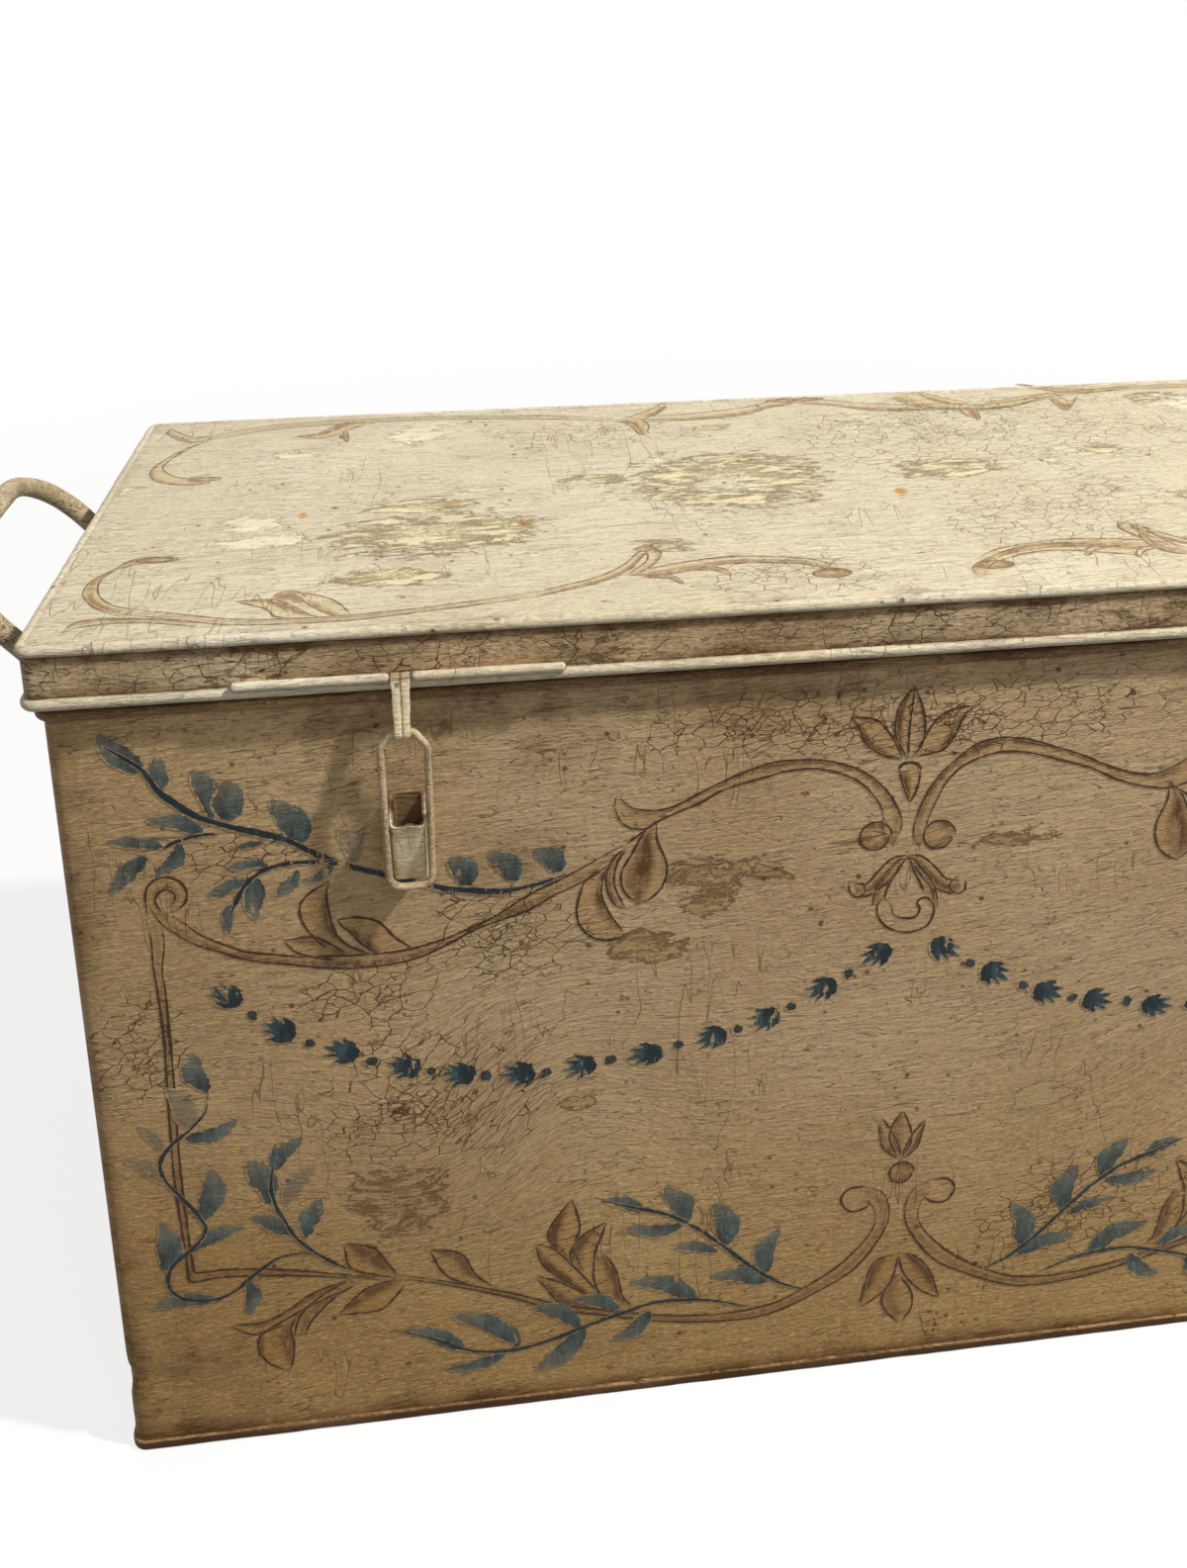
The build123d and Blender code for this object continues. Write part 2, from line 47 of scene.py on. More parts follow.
# ---------------------------------------------------------------- camera of the photograph
PHOTO_WIDE, PHOTO_HIGH = 1200, 1585
SENSOR = 36.0
CAMERA_AT = (-152.05, -556.64, 559.10)
CAMERA_TURN = (74.1204, 0.1952, -7.2413)      # degrees
CAMERA_LENS = 33.952
CAMERA_SHIFT = (-0.03785, -0.27918)

turned = Euler([math.radians(a) for a in CAMERA_TURN]).to_matrix()
camera_data = bpy.data.cameras.new("camera")
camera_data.sensor_width = SENSOR
camera_data.lens = CAMERA_LENS
camera_data.shift_x, camera_data.shift_y = CAMERA_SHIFT
camera_data.clip_start = 0.01
camera = bpy.data.objects.new("camera", camera_data)
camera.location = Vector(CAMERA_AT) * MM
camera.rotation_euler = turned.to_euler()
bpy.context.scene.collection.objects.link(camera)
bpy.context.scene.camera = camera

FOCAL = CAMERA_LENS / SENSOR * PHOTO_HIGH
CENTRE = (PHOTO_WIDE / 2 - CAMERA_SHIFT[0] * PHOTO_HIGH, PHOTO_HIGH / 2 + CAMERA_SHIFT[1] * PHOTO_HIGH)
FRAME_AXES = np.array(turned)


def seen_on(axis, value, pixels):
    """Places (mm) on the plane axis = value that the camera sees at pixels of the photograph."""
    pixels = np.asarray(pixels, float).reshape(-1, 2)
    rays = np.stack([
        (pixels[:, 0] - CENTRE[0]) / FOCAL, (CENTRE[1] - pixels[:, 1]) / FOCAL, -np.ones(len(pixels))
    ], 1) @ FRAME_AXES.T
    start = np.array(CAMERA_AT)
    reach = (value - start[axis]) / rays[:, axis]
    return start + rays * reach[:, None]


# ---------------------------------------------------------------- sizes, as the CAD has them
BODY_X, BODY_Y = 296.0, 107.0      # outside of the body's sheets
LID_X, LID_Y = 300.0, 111.0        # outside of the lid's skirt
CORNER_R = 4.5
LAP = 8.0
SHEET = 0.8
FLOOR_SEAM = 0.8
LIP_TOP = 329.0
SKIRT_LOW, SKIRT_HIGH = 321.6, 335.8
TOP_FACE = 339.6
TOP_HALF = (299.1, 110.1)
TOP_SEAM = (337.9, 2.1)            # height, radius
ROLL = (319.3, 2.3)
RIM_BEAD = (314.0, 2.7)
BASE_SEAM_HIGH, BASE_SEAM_OUT = 4.2, 1.2
HASP_X = 180.0
TUBE_Y, TUBE_Z, TUBE_R = -112.7, 322.34, 1.65
TUBE_LENGTH, TUBE_SLOT = 109.0, 7.0
PIN_R = 0.95
STRAP_WIDE = (6.2, 5.0)
STRAP_THICK = 1.4
KNUCKLE_SLACK = 0.12                 # keeps a swinging strap off the rolled edge
RING_Y, RING_TOP, RING_LENGTH, RING_HALF, RING_R = -115.6, 303.74, 58.9, 7.75, 1.25
EYE_INNER, EYE_WALL = 1.33, 1.1
STAPLE_HALF, STAPLE_WALL = 5.75, 1.0
STAPLE_BACK_TOP, STAPLE_FRONT_TOP, STAPLE_LOW = 276.2, 268.4, 246.49
STAPLE_OUT_TOP, STAPLE_OUT_LOW = 9.4, 6.9
STAPLE_RIVET_Z = 261.5
HANDLE_X, HANDLE_Z, HANDLE_R = 299.8, 295.0, 4.0
HANDLE_HALF, HANDLE_REACH, HANDLE_BEND, HANDLE_END_BEND, HANDLE_END = 55.5, 61.0, 30.0, 6.0, 19.0
HANDLE_RAISED = 49.0
SIDES = {"left": -1, "right": 1}
FRONT, TOP, BACK, END, SKIRT = "front", "top", "back", "end", "skirt"
PLANES = {FRONT: (1, -BODY_Y, 2), TOP: (2, TOP_FACE, 1)}       # axis, its value, and the axis across x


def flat_on(surface, pixels):
    """Places in the two coordinates of a surface that the camera sees at pixels of the photograph."""
    axis, value, across = PLANES[surface]
    return seen_on(axis, value, pixels)[:, [0, across]]


# ---------------------------------------------------------------- colours
def srgb(red, green, blue):
    def linear(c):
        c /= 255
        return c / 12.92 if c <= 0.04045 else ((c + 0.055) / 1.055) ** 2.4
    return (linear(red), linear(green), linear(blue), 1.0)


# the lid's cream painted darker and warmer for the front, back and ends: partly painted shade, partly the
# paint's own tan
FRONT_SHADED_TAN = srgb(201, 170, 127)
FRONT_SHADED_PALE = srgb(222, 194, 151)
# painted shade: the front's paint is darkened towards its foot and its ends
LOW_SHADE = srgb(230, 217, 178)           # the front's paint towards its foot, times this
LID_CREAM = srgb(212, 200, 168)
LID_LIGHT = srgb(226, 217, 189)
# the lid's cream painted darker and warmer on the upright skirt: partly painted shade, partly the paint's own
# tan
SKIRT_SHADED_TAN = srgb(208, 178, 136)
SKIRT_SHADED_PALE = srgb(232, 209, 169)
# the seams' dark brown and their darkest tone are dirt and painted shade at the trunk's foot and under the
# lid
SEAM_TAN = srgb(92, 64, 34)
SEAM_LIGHT = srgb(192, 160, 112)
SEAM_SOIL_AND_SHADE = srgb(66, 44, 22)
EDGE_CREAM = srgb(214, 199, 166)
EDGE_LIGHT = srgb(234, 225, 200)
RING_TAN = srgb(212, 187, 145)
RING_LIGHT = srgb(238, 220, 183)
METAL_CREAM = srgb(242, 221, 177)        # straps, staples and hinges
METAL_LIGHT = srgb(252, 239, 203)
HANDLE_TAN = srgb(180, 157, 116)
HANDLE_LIGHT = srgb(218, 202, 168)
# brown of dirt streaks, also the tone of painted shade
GRIME_AND_SHADE = srgb(108, 76, 40)
DARK = srgb(78, 46, 18)
TOP_INK = srgb(128, 92, 50)              # in the lid's cracks and scratches
# what shows where paint has gone, its ragged lines, and the pale chips
TOP_WORN = (srgb(234, 219, 176), srgb(168, 130, 72), srgb(236, 226, 198))
# the same on the upright sheets, painted darker as painted shade
FRONT_WORN_SHADED = (srgb(190, 158, 110), srgb(104, 70, 30), srgb(196, 168, 122))
RUST = srgb(190, 142, 62)
BLUE = srgb(66, 90, 93)
BLUE_DARK = srgb(28, 41, 46)
BLUE_LIGHT = srgb(112, 128, 117)
FRONT_LINE = srgb(66, 38, 17)
FRONT_WASH = srgb(243, 232, 216)
FRONT_WASH_DARK = srgb(96, 62, 30)
TOP_LINE = srgb(122, 88, 48)
TOP_WASH = srgb(248, 240, 222)
TOP_WASH_DARK = srgb(150, 114, 68)
INSIDE = srgb(172, 156, 126)
INSIDE_LIGHT = srgb(206, 188, 154)
WIRE_GREY = srgb(96, 88, 78)


# ---------------------------------------------------------------- relief of the thin sheets
RIPPLE_WAVES, RIPPLE_HEIGHT = 7, 4.5


def ripple(u, v, seed, length):
    """Smooth waviness, -1 to 1, with waves of about the given length."""
    rng = random.Random(seed)
    total = np.zeros(np.broadcast(u, v).shape)
    for _ in range(RIPPLE_WAVES):
        turn, phase = rng.uniform(0, math.pi), rng.uniform(0, 2 * math.pi)
        wave = length * rng.uniform(0.7, 1.6)
        total = total + np.sin((u * math.cos(turn) + v * math.sin(turn)) * 2 * math.pi / wave + phase)
    return total / RIPPLE_HEIGHT


def fade(distance, reach):
    """0 at no distance, rising smoothly to 1 at reach."""
    t = np.clip(distance / reach, 0, 1)
    return t * t * (3 - 2 * t)


def near(distance, reach):
    """1 at no distance, falling smoothly to 0 at reach."""
    return 1 - fade(distance, reach)


def bump(u, v, centre, radii):
    return np.exp(-((u - centre[0]) / radii[0]) ** 2 - ((v - centre[1]) / radii[1]) ** 2)


FRONT_WAVE, TOP_WAVE, PLAIN_WAVE, SKIRT_WAVE = 0.45, 0.5, 0.3, 0.12
PANEL_FOOT, PANEL_HEAD = 4, 305      # heights between which a panel may wave
CORNER_DENT = ((-292.0, 33.0), (16.0, 5.0), 1.8)      # place, size, depth
STAPLE_FLAT = (18, 26)               # how far round a staple the panel is flat


def front_relief(x, z):
    """How far the front sheet stands out of its plane."""
    edge = fade(BODY_X - np.abs(x), 40) * fade(z - PANEL_FOOT, 30) * fade(PANEL_HEAD - z, 35)
    for side in SIDES.values():
        edge = edge * (1 - bump(x, z, (side * HASP_X, STAPLE_RIVET_Z), STAPLE_FLAT))
    wave = FRONT_WAVE * edge * (ripple(x, z, 3, 150) + 0.35 * ripple(x, z, 4, 55))
    centre, radii, depth = CORNER_DENT
    return wave - depth * bump(x, z, centre, radii)


def top_relief(x, y):
    """How far the lid's top sheet stands above its plane."""
    edge = fade(TOP_HALF[0] - np.abs(x), 30) * fade(TOP_HALF[1] - np.abs(y), 22)
    return TOP_WAVE * edge * (ripple(x, y, 8, 170) + 0.3 * ripple(x, y, 9, 60) - 0.4)


def plain_relief(u, z, half):
    """Waviness of the back and end sheets."""
    edge = fade(half - np.abs(u), 35) * fade(z - PANEL_FOOT, 30)
    edge = edge * fade(PANEL_HEAD - 5 - z, 30) * fade(PANEL_HEAD - z, 60)
    return PLAIN_WAVE * edge * ripple(u, z, 21, 140)


# ---------------------------------------------------------------- worn places, as boxes of photograph pixels
WORN_PALE_TOP = (
    (222, 520, 288, 540), (208, 541, 318, 554), (272, 455, 320, 465), (388, 430, 458, 449),
    (650, 459, 676, 470), (556, 484, 620, 492), (690, 478, 770, 500), (150, 583, 162, 590),
    (120, 494, 128, 502),
)
WORN_TAN_TOP = (
    (330, 520, 545, 560), (372, 504, 476, 518), (330, 574, 456, 592), (640, 458, 832, 514),
    (560, 480, 640, 490), (905, 464, 1010, 482), (1092, 446, 1136, 456), (436, 503, 476, 516),
    (640, 545, 700, 560), (1140, 396, 1200, 408), (700, 428, 740, 436),
)
WORN_TAN_FRONT = (
    (668, 868, 770, 904), (740, 874, 818, 890), (610, 938, 690, 976), (690, 900, 740, 925),
    (350, 1180, 456, 1243), (985, 838, 1064, 856), (560, 1108, 606, 1122),
)
WORN_PALE_FRONT = ((1018, 1094, 1084, 1120), (990, 1104, 1120, 1113), (596, 880, 610, 890))
CRACKLE_FRONT = (
    (980, 1160, 1200, 1270), (640, 700, 900, 770), (780, 690, 1200, 760), (300, 1040, 560, 1200),
    (80, 1000, 200, 1120), (430, 890, 600, 1000), (300, 960, 460, 1040), (180, 840, 300, 900),
)
CRACKLE_TOP = (
    (930, 480, 1160, 560), (760, 395, 1200, 480), (700, 560, 900, 600), (1000, 480, 1200, 520),
    (500, 425, 700, 450),
)
RUST_TOP = ((296, 516, 316, 526), (900, 491, 920, 500), (440, 506, 470, 514), (520, 524, 545, 532))
# dirt, and painted shade under the lid, round the hasp and at the left end and lower left
GRIME_AND_SHADE_FRONT = (
    (440, 830, 560, 900), (400, 690, 640, 790), (300, 690, 400, 760), (620, 690, 900, 740),
    (120, 1260, 260, 1460), (60, 760, 110, 1000), (60, 1000, 120, 1400), (360, 740, 460, 900),
)
WORN_PLACES = {
    FRONT: {
        "worn_pale": WORN_PALE_FRONT, "worn_tan": WORN_TAN_FRONT, "crackle": CRACKLE_FRONT,
        "grime_and_shade": GRIME_AND_SHADE_FRONT,
    },
    TOP: {"worn_pale": WORN_PALE_TOP, "worn_tan": WORN_TAN_TOP, "crackle": CRACKLE_TOP, "rust": RUST_TOP},
}

FAN_AT = (500, 1120)                 # where the brush marks swing up steeply, as a pixel of the photograph
FAN = (30.0, 62.0, 42.0)             # how far they rise, and how wide and tall the place is (mm)
FRONT_RISE, TOP_RISE = 0.08, 0.04    # slopes of the brush marks
UNSEEN_X = 130.0                     # a worn place further left than this is on the unseen right as well
UNDER_RIM = 312                      # height of the foot of the rim bead
SKIRT_SOIL_AND_SHADE = (322, 332)              # heights of the skirt's darkened foot and head, next to the beads: dirt and painted shade


def grain(places, surface):
    """Place along and across the brush marks, in metres."""
    x, y, z = places.T
    if surface == FRONT:
        at = flat_on(FRONT, [FAN_AT])[0]
        rise, wide, tall = FAN
        inner = -np.abs(x) - at[0]
        swing = rise * np.tanh(inner / rise) * bump(inner, z, (0, at[1]), (wide, tall))
        return x * MM, (z - FRONT_RISE * x - swing + 3 * ripple(x, z, 51, 210)) * MM
    if surface == TOP:
        return x * MM, (y - TOP_RISE * x + 2 * ripple(x, y, 52, 190)) * MM
    return (x + y) * MM, z * MM


def field(places, surface, boxes):
    """1 inside the boxes' ellipses, 0.5 at their rims, 0 further out; the unseen right is like the left."""
    across = PLANES[surface][2]
    found = np.zeros(len(places))
    for left, high, right, low in boxes:
        corners = flat_on(surface, [(left, high), (right, high), (left, low), (right, low)])
        spot = corners.mean(0)
        wide = (corners[1, 0] - corners[0, 0] + corners[3, 0] - corners[2, 0]) / 4
        tall = abs(corners[0, 1] + corners[1, 1] - corners[2, 1] - corners[3, 1]) / 4
        for x in (spot[0], -spot[0]) if spot[0] < -UNSEEN_X else (spot[0],):
            from_spot = ((places[:, 0] - x) / wide) ** 2 + ((places[:, across] - spot[1]) / tall) ** 2
            found = np.maximum(found, np.clip(1 - 0.5 * from_spot, 0, 1))
    return found


def paint_fields(places, surface=None):
    """The slow changes of the paint at each place (mm): where it is worn, cracked, dirty and rusty, and where
    shade is painted on.
    """
    x, y, z = places.T
    none = np.zeros(len(places))
    made = dict.fromkeys(("worn_pale", "worn_tan", "crackle", "grime_and_shade", "rust", "low"), none)
    made["crackle"] = none + 0.15
    made["along"], made["across"] = grain(places, surface)
    for name, boxes in WORN_PLACES.get(surface, {}).items():
        made[name] = field(places, surface, boxes)
    if surface == FRONT:
        from_end = BODY_X - np.abs(x)
        # painted shade: darker towards the foot and towards the ends
        made["low"] = np.clip(near(z - 20, 170) + 0.4 * near(from_end, 150), 0, 1)
        # dirt and painted shade: the places listed above, under the rim bead, at the foot and towards the
        # ends
        made["grime_and_shade"] = np.clip(
            made["grime_and_shade"] * 0.34 + 0.24 * near(UNDER_RIM - z, 24) + 0.8 * near(z - PANEL_FOOT, 9)
            + 0.35 * near(from_end, 12) + 0.2 * near(from_end, 70) * near(z, 160), 0, 1)
    elif surface == TOP:
        # dirt and painted shade along the top's edges, where it meets the seam bead
        made["grime_and_shade"] = 0.45 * near(TOP_HALF[1] - np.abs(y), 5) + 0.35 * near(TOP_HALF[0] - np.abs(x), 6)
    elif surface == SKIRT:
        foot, head = SKIRT_SOIL_AND_SHADE
        made["crackle"] = none + 0.6
        made["worn_tan"] = np.clip(0.1 + 0.5 * ripple(x + y, z * 2, 32, 60), 0, 0.6)
        patches = 0.28 + 0.3 * ripple(x + y, z * 3, 34, 70)
        # patches of dirt, with dirt and painted shade at the head and foot next to the beads
        made["grime_and_shade"] = np.clip(patches + 0.7 * fade(z - head, 3) + 0.5 * near(z - foot, 3), 0, 1)
    elif surface in (BACK, END):
        run = x if surface == BACK else y
        made["crackle"] = np.clip(0.5 + 0.6 * ripple(run, z, 31, 160), 0, 1)
        made["worn_tan"] = np.clip(ripple(run, z * 3, 32, 150) - 0.25, 0, 1)
        made["worn_pale"] = np.clip(ripple(run, z * 3, 33, 130) - 0.35, 0, 1)
        # dirt and painted shade under the rim and at the foot
        made["grime_and_shade"] = np.clip(
            0.5 * near(UNDER_RIM - z, 34) + 0.5 * near(z - 3, 16) + 0.3 * ripple(run, z, 34, 120), 0, 1)
    return made


# ---------------------------------------------------------------- meshes
def mesh(name, places, faces, fields, looks, face_looks=None, sharp=50):
    """One piece from places in mm, with fields stored at them; edges over sharp degrees stay sharp."""
    made = bpy.data.meshes.new(name)
    made.from_pydata((np.asarray(places, float) * MM).tolist(), [], [tuple(int(i) for i in f) for f in faces])
    made.polygons.foreach_set("use_smooth", [True] * len(made.polygons))
    made.set_sharp_from_angle(angle=math.radians(sharp))
    for look in looks:
        made.materials.append(look)
    if face_looks is not None:
        made.polygons.foreach_set("material_index", face_looks)
    for key, values in fields.items():
        attribute = made.attributes.new(key, "FLOAT", "POINT")
        attribute.data.foreach_set("value", np.asarray(values, np.float32))
    made.validate()
    piece = bpy.data.objects.new(name, made)
    bpy.context.scene.collection.objects.link(piece)
    return piece


def settle(piece, body, slot, *nodes):
    """Puts a piece on its body, in place of the CAD's nodes; its slot is not used."""
    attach(piece, body)
    if nodes:
        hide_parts(*nodes)


def grid_faces(rows, columns, start=0, closed=False, flip=False):
    faces = []
    for i in range(rows - 1):
        for j in range(columns if closed else columns - 1):
            a, b = start + i * columns + j, start + i * columns + (j + 1) % columns
            quad = (a, b, b + columns, a + columns)
            faces.append(quad[::-1] if flip else quad)
    return faces


def joined_ends(rows, columns, shift=0):
    """Faces from the last ring of a closed bar to its first, turned by shift points."""
    last = (rows - 1) * columns
    return [(last + j, last + (j + 1) % columns, (j + 1 + shift) % columns, (j + shift) % columns)
            for j in range(columns)]


def end_caps(rows, columns):
    return [tuple(range(columns))[::-1], tuple((rows - 1) * columns + j for j in range(columns))]


def unit(vector):
    return vector / np.linalg.norm(vector)


def distance_along(places):
    """How far each place is along the run of places."""
    return np.concatenate([[0], np.cumsum(np.linalg.norm(np.diff(places, axis=0), axis=1))])


def plate(name, outside, normals, surface, paint):
    """Thin sheet from its outer face, a grid of places, and the normals there; the inside is plain paint."""
    rows, columns = outside.shape[:2]
    count = rows * columns
    inside = outside - normals * SHEET
    places = np.concatenate([outside.reshape(-1, 3), inside.reshape(-1, 3)])
    outer = grid_faces(rows, columns)
    inner = grid_faces(rows, columns, count, flip=True)
    rim = [j for j in range(columns)] + [i * columns + columns - 1 for i in range(1, rows)]
    rim += [(rows - 1) * columns + j for j in range(columns - 2, -1, -1)]
    rim += [i * columns for i in range(rows - 2, 0, -1)]
    edge = [(b, a, a + count, b + count) for a, b in zip(rim, rim[1:] + rim[:1])]
    faces, kinds = outer + inner + edge, [0] * len(outer) + [1] * len(inner) + [0] * len(edge)
    return mesh(name, places, faces, paint_fields(places, surface), (paint, inside_paint), kinds)


LAP_STEPS, BEND_STEPS, LOOP_BEND_STEPS = 3, 5, 6
LOOP_STEP = 5.0


def lapped_plan(half_x, half_y, facing, step):
    """Plan of a sheet turned round both corners, with its outward normals."""
    run = []
    inner_x, inner_y = half_x - CORNER_R, half_y - CORNER_R
    for side, order in ((-1, 1), (1, -1)):
        centre = np.array([side * inner_x, facing * inner_y])
        lap = [((side * half_x, facing * (inner_y - LAP * k / LAP_STEPS)), (side, 0))
               for k in range(LAP_STEPS, -1, -1)]
        arc = []
        for k in range(1, BEND_STEPS):
            turn = math.pi / 2 * k / BEND_STEPS
            out = np.array([side * math.cos(turn), facing * math.sin(turn)])
            arc.append((tuple(centre + CORNER_R * out), tuple(out)))
        run.append((lap + arc)[::order])
    straight = np.linspace(-inner_x, inner_x, int(2 * half_x / step))
    points = run[0] + [((x, facing * half_y), (0, facing)) for x in straight] + run[1]
    places = np.array([p for p, _ in points], float)
    outs = np.array([n for _, n in points], float)
    return (places, outs) if facing < 0 else (places[::-1], outs[::-1])


def end_plan(half_x, half_y, count, side):
    """Plan of a flat end sheet between the laps, with its outward normals."""
    run = np.linspace(-1, 1, count) * (half_y - CORNER_R) * side
    return np.stack([np.full(count, side * (half_x - SHEET)), run], 1), np.tile([side, 0.0], (count, 1))


def upright(plan, outs, heights, relief):
    """Grid of places and normals from a plan run and heights; relief(x, y, z) is how far each stands out."""
    places = np.zeros((len(heights), len(plan), 3))
    normals = np.zeros_like(places)
    places[:, :, :2] = plan[None]
    places[:, :, 2] = heights[:, None]
    normals[:, :, :2] = outs[None]
    return places + normals * relief(*np.moveaxis(places, 2, 0))[:, :, None], normals


def loop(half_x, half_y, inset=0.0):
    """Closed plan run inset from a box's sides, with its outward normals, anticlockwise from above."""
    inner_x, inner_y, radius = half_x - CORNER_R, half_y - CORNER_R, CORNER_R - inset
    places, outs = [], []
    for k, (sx, sy) in enumerate(((1, -1), (1, 1), (-1, 1), (-1, -1))):
        start = -math.pi / 2 + k * math.pi / 2
        centre = np.array([sx * inner_x, sy * inner_y])
        for i in range(LOOP_BEND_STEPS + 1):
            turn = start + math.pi / 2 * i / LOOP_BEND_STEPS
            out = np.array([math.cos(turn), math.sin(turn)])
            places.append(centre + radius * out)
            outs.append(out)
        straight = 2 * inner_y if k % 2 == 0 else 2 * inner_x
        along = np.array([-outs[-1][1], outs[-1][0]])
        steps = int(straight / LOOP_STEP)
        for i in range(1, steps):
            places.append(places[-1] + along * straight / steps)
            outs.append(outs[-1])
    return np.array(places), np.array(outs)


def moulding(name, run, profile, dirt_and_shade, paint, seed, wobble=0.12):
    """Bar with a closed profile of (out, up) points swept once round a plan run."""
    plan, outs = run
    profile = np.array(profile, float)
    rows, columns = len(plan), len(profile)
    distance = distance_along(plan)
    swell = wobble * (ripple(distance, 0, seed, 37) + 0.7 * ripple(distance, 0, seed + 1, 13))
    middle = profile.mean(0)
    reach = np.linalg.norm(profile - middle, axis=1)
    grown = middle + (profile - middle)[None] * (1 + swell[:, None] / max(reach))[:, :, None]
    places = np.zeros((rows, columns, 3))
    places[:, :, :2] = plan[:, None] + outs[:, None] * grown[:, :, :1]
    places[:, :, 2] = grown[:, :, 1]
    places = places.reshape(-1, 3)
    faces = grid_faces(rows, columns, closed=True) + joined_ends(rows, columns)
    fields = paint_fields(places)
    patches = np.repeat(ripple(distance, 0, seed + 2, 60), columns)
    fields["grime_and_shade"] = np.clip(np.tile(dirt_and_shade, rows) + 0.3 * patches, 0, 1.2)
    return mesh(name, places, faces, fields, (paint,), sharp=60)


BEAD_POINTS = 14
SOIL_AND_SHADE_SPREAD = 40                     # degrees


def circle(height, radius):
    """Round profile of a bead."""
    turns = [2 * math.pi * i / BEAD_POINTS for i in range(BEAD_POINTS)]
    return [(radius * math.cos(turn), height + radius * math.sin(turn)) for turn in turns]


def grimy_and_shaded(*facing):
    """Dirt and painted shade round a round profile: most where it faces the given angles (degrees)."""
    turn = np.arange(BEAD_POINTS) * 360 / BEAD_POINTS
    found = np.zeros(BEAD_POINTS)
    for angle in facing:
        apart = np.abs((turn - angle + 180) % 360 - 180)
        found = np.maximum(found, np.exp(-(apart / SOIL_AND_SHADE_SPREAD) ** 3.0))
    return found


SAME_PLACE = 0.05


def bent(points, bends, step):
    """Places along straight runs joined by arcs, in the plane's own two coordinates."""
    points = [np.array(p, float) for p in points]
    run = [points[0]]
    for i, radius in enumerate(bends, 1):
        back, on = unit(points[i - 1] - points[i]), unit(points[i + 1] - points[i])
        half = math.acos(np.clip(back @ on, -1, 1)) / 2
        centre = points[i] + unit(back + on) * radius / math.sin(half)
        a, b = (points[i] + way * radius / math.tan(half) - centre for way in (back, on))
        sweep = math.atan2(a[0] * b[1] - a[1] * b[0], a @ b)
        steps = max(4, int(abs(sweep) * radius / step))
        for k in range(steps + 1):
            c, s = math.cos(sweep * k / steps), math.sin(sweep * k / steps)
            run.append(centre + np.array([a[0] * c - a[1] * s, a[0] * s + a[1] * c]))
    run.append(points[-1])
    dense = [run[0]]
    for p in run[1:]:
        start = dense[-1]
        parts = max(1, math.ceil(np.linalg.norm(p - start) / step))
        dense += [start + (p - start) * k / parts for k in range(1, parts + 1)]
    keep = [dense[0]]
    for p in dense[1:]:
        if np.linalg.norm(p - keep[-1]) > SAME_PLACE:
            keep.append(p)
    return np.array(keep)


EYE_CLEARANCE = 0.1
ROUND_END_STEPS = 5
END_SIZE = 0.03                      # the last ring of a rounded end, as a share of the bar


def bar(name, path, radius, paint, seed, lumps, dirt_and_shade, around=16, closed=False, free=None):
    """Round bar, lumpy with paint, along places in mm; free(places) is 0 where it turns inside an eye."""
    shape = np.ones(len(path))
    if not closed:
        turns = [math.pi / 2 * k / ROUND_END_STEPS for k in range(ROUND_END_STEPS + 1)]
        first, last = unit(path[0] - path[1]), unit(path[-1] - path[-2])
        far_first, far_last = (np.linalg.norm(path - end, axis=1) > radius for end in (path[0], path[-1]))
        inner = path[far_first & far_last]
        start = [path[0] - first * radius * (1 - math.cos(turn)) for turn in turns]
        end = [path[-1] - last * radius * (1 - math.cos(turn)) for turn in turns[::-1]]
        path = np.array(start + list(inner) + end)
        sizes = [max(math.sin(turn), END_SIZE) for turn in turns]
        shape = np.array(sizes + [1.0] * len(inner) + sizes[::-1])
    rows = len(path)
    ahead = np.roll(path, -1, 0) - np.roll(path, 1, 0)
    if not closed:
        ahead[0], ahead[-1] = path[1] - path[0], path[-1] - path[-2]
    ahead /= np.linalg.norm(ahead, axis=1)[:, None]
    normal = unit(np.cross(ahead[0], [0.3, 0.2, 0.9]))
    places, turns = [], 2 * math.pi * np.arange(around) / around
    distance = distance_along(path)
    swell = ripple(distance[:, None], 0 * turns[None], seed, 22) + 0.8 * ripple(
        distance[:, None], np.cos(turns)[None] * 6, seed + 5, 9)
    loose = np.ones(rows) if free is None else free(path)
    for i in range(rows):
        normal = unit(normal - ahead[i] * (normal @ ahead[i]))
        other = np.cross(ahead[i], normal)
        size = radius * shape[i] * (1 + lumps * 0.5 * swell[i] * loose[i]) - EYE_CLEARANCE * (1 - loose[i])
        ring = np.cos(turns)[:, None] * normal + np.sin(turns)[:, None] * other
        places.append(path[i] + size[:, None] * ring)
    faces = grid_faces(rows, around, closed=True)
    if closed:
        # the frame comes back turned, so the last ring is joined to the nearest point of the first
        faces += joined_ends(rows, around, int(np.argmin(np.linalg.norm(places[0] - places[-1][0], axis=1))))
    else:
        faces += end_caps(rows, around)
    places = np.concatenate(places)
    fields = paint_fields(places)
    fields["grime_and_shade"] = np.clip(dirt_and_shade + 0.25 * np.repeat(ripple(distance, 0, seed + 3, 60), around), 0, 1)
    return mesh(name, places, faces, fields, (paint,), sharp=70)


# ---------------------------------------------------------------- materials
DULL_SPECULAR = 0.18
BUMP_DEPTH = 0.0008                  # metres
MIX_A, MIX_B, MIX_RESULT = 6, 7, 2   # the Mix node's colour sockets


def fill(tree, made, inputs):
    """Links or sets a node's inputs."""
    for key, value in inputs.items():
        if isinstance(value, bpy.types.NodeSocket):
            tree.links.new(value, made.inputs[key])
        else:
            made.inputs[key].default_value = value
    return made


def node(tree, kind, inputs):
    return fill(tree, tree.nodes.new("ShaderNode" + kind), inputs)


def math_node(tree, kind, a, b=0.0, clamp=False):
    made = node(tree, "Math", {0: a, 1: b})
    made.operation, made.use_clamp = kind, clamp
    return made.outputs[0]


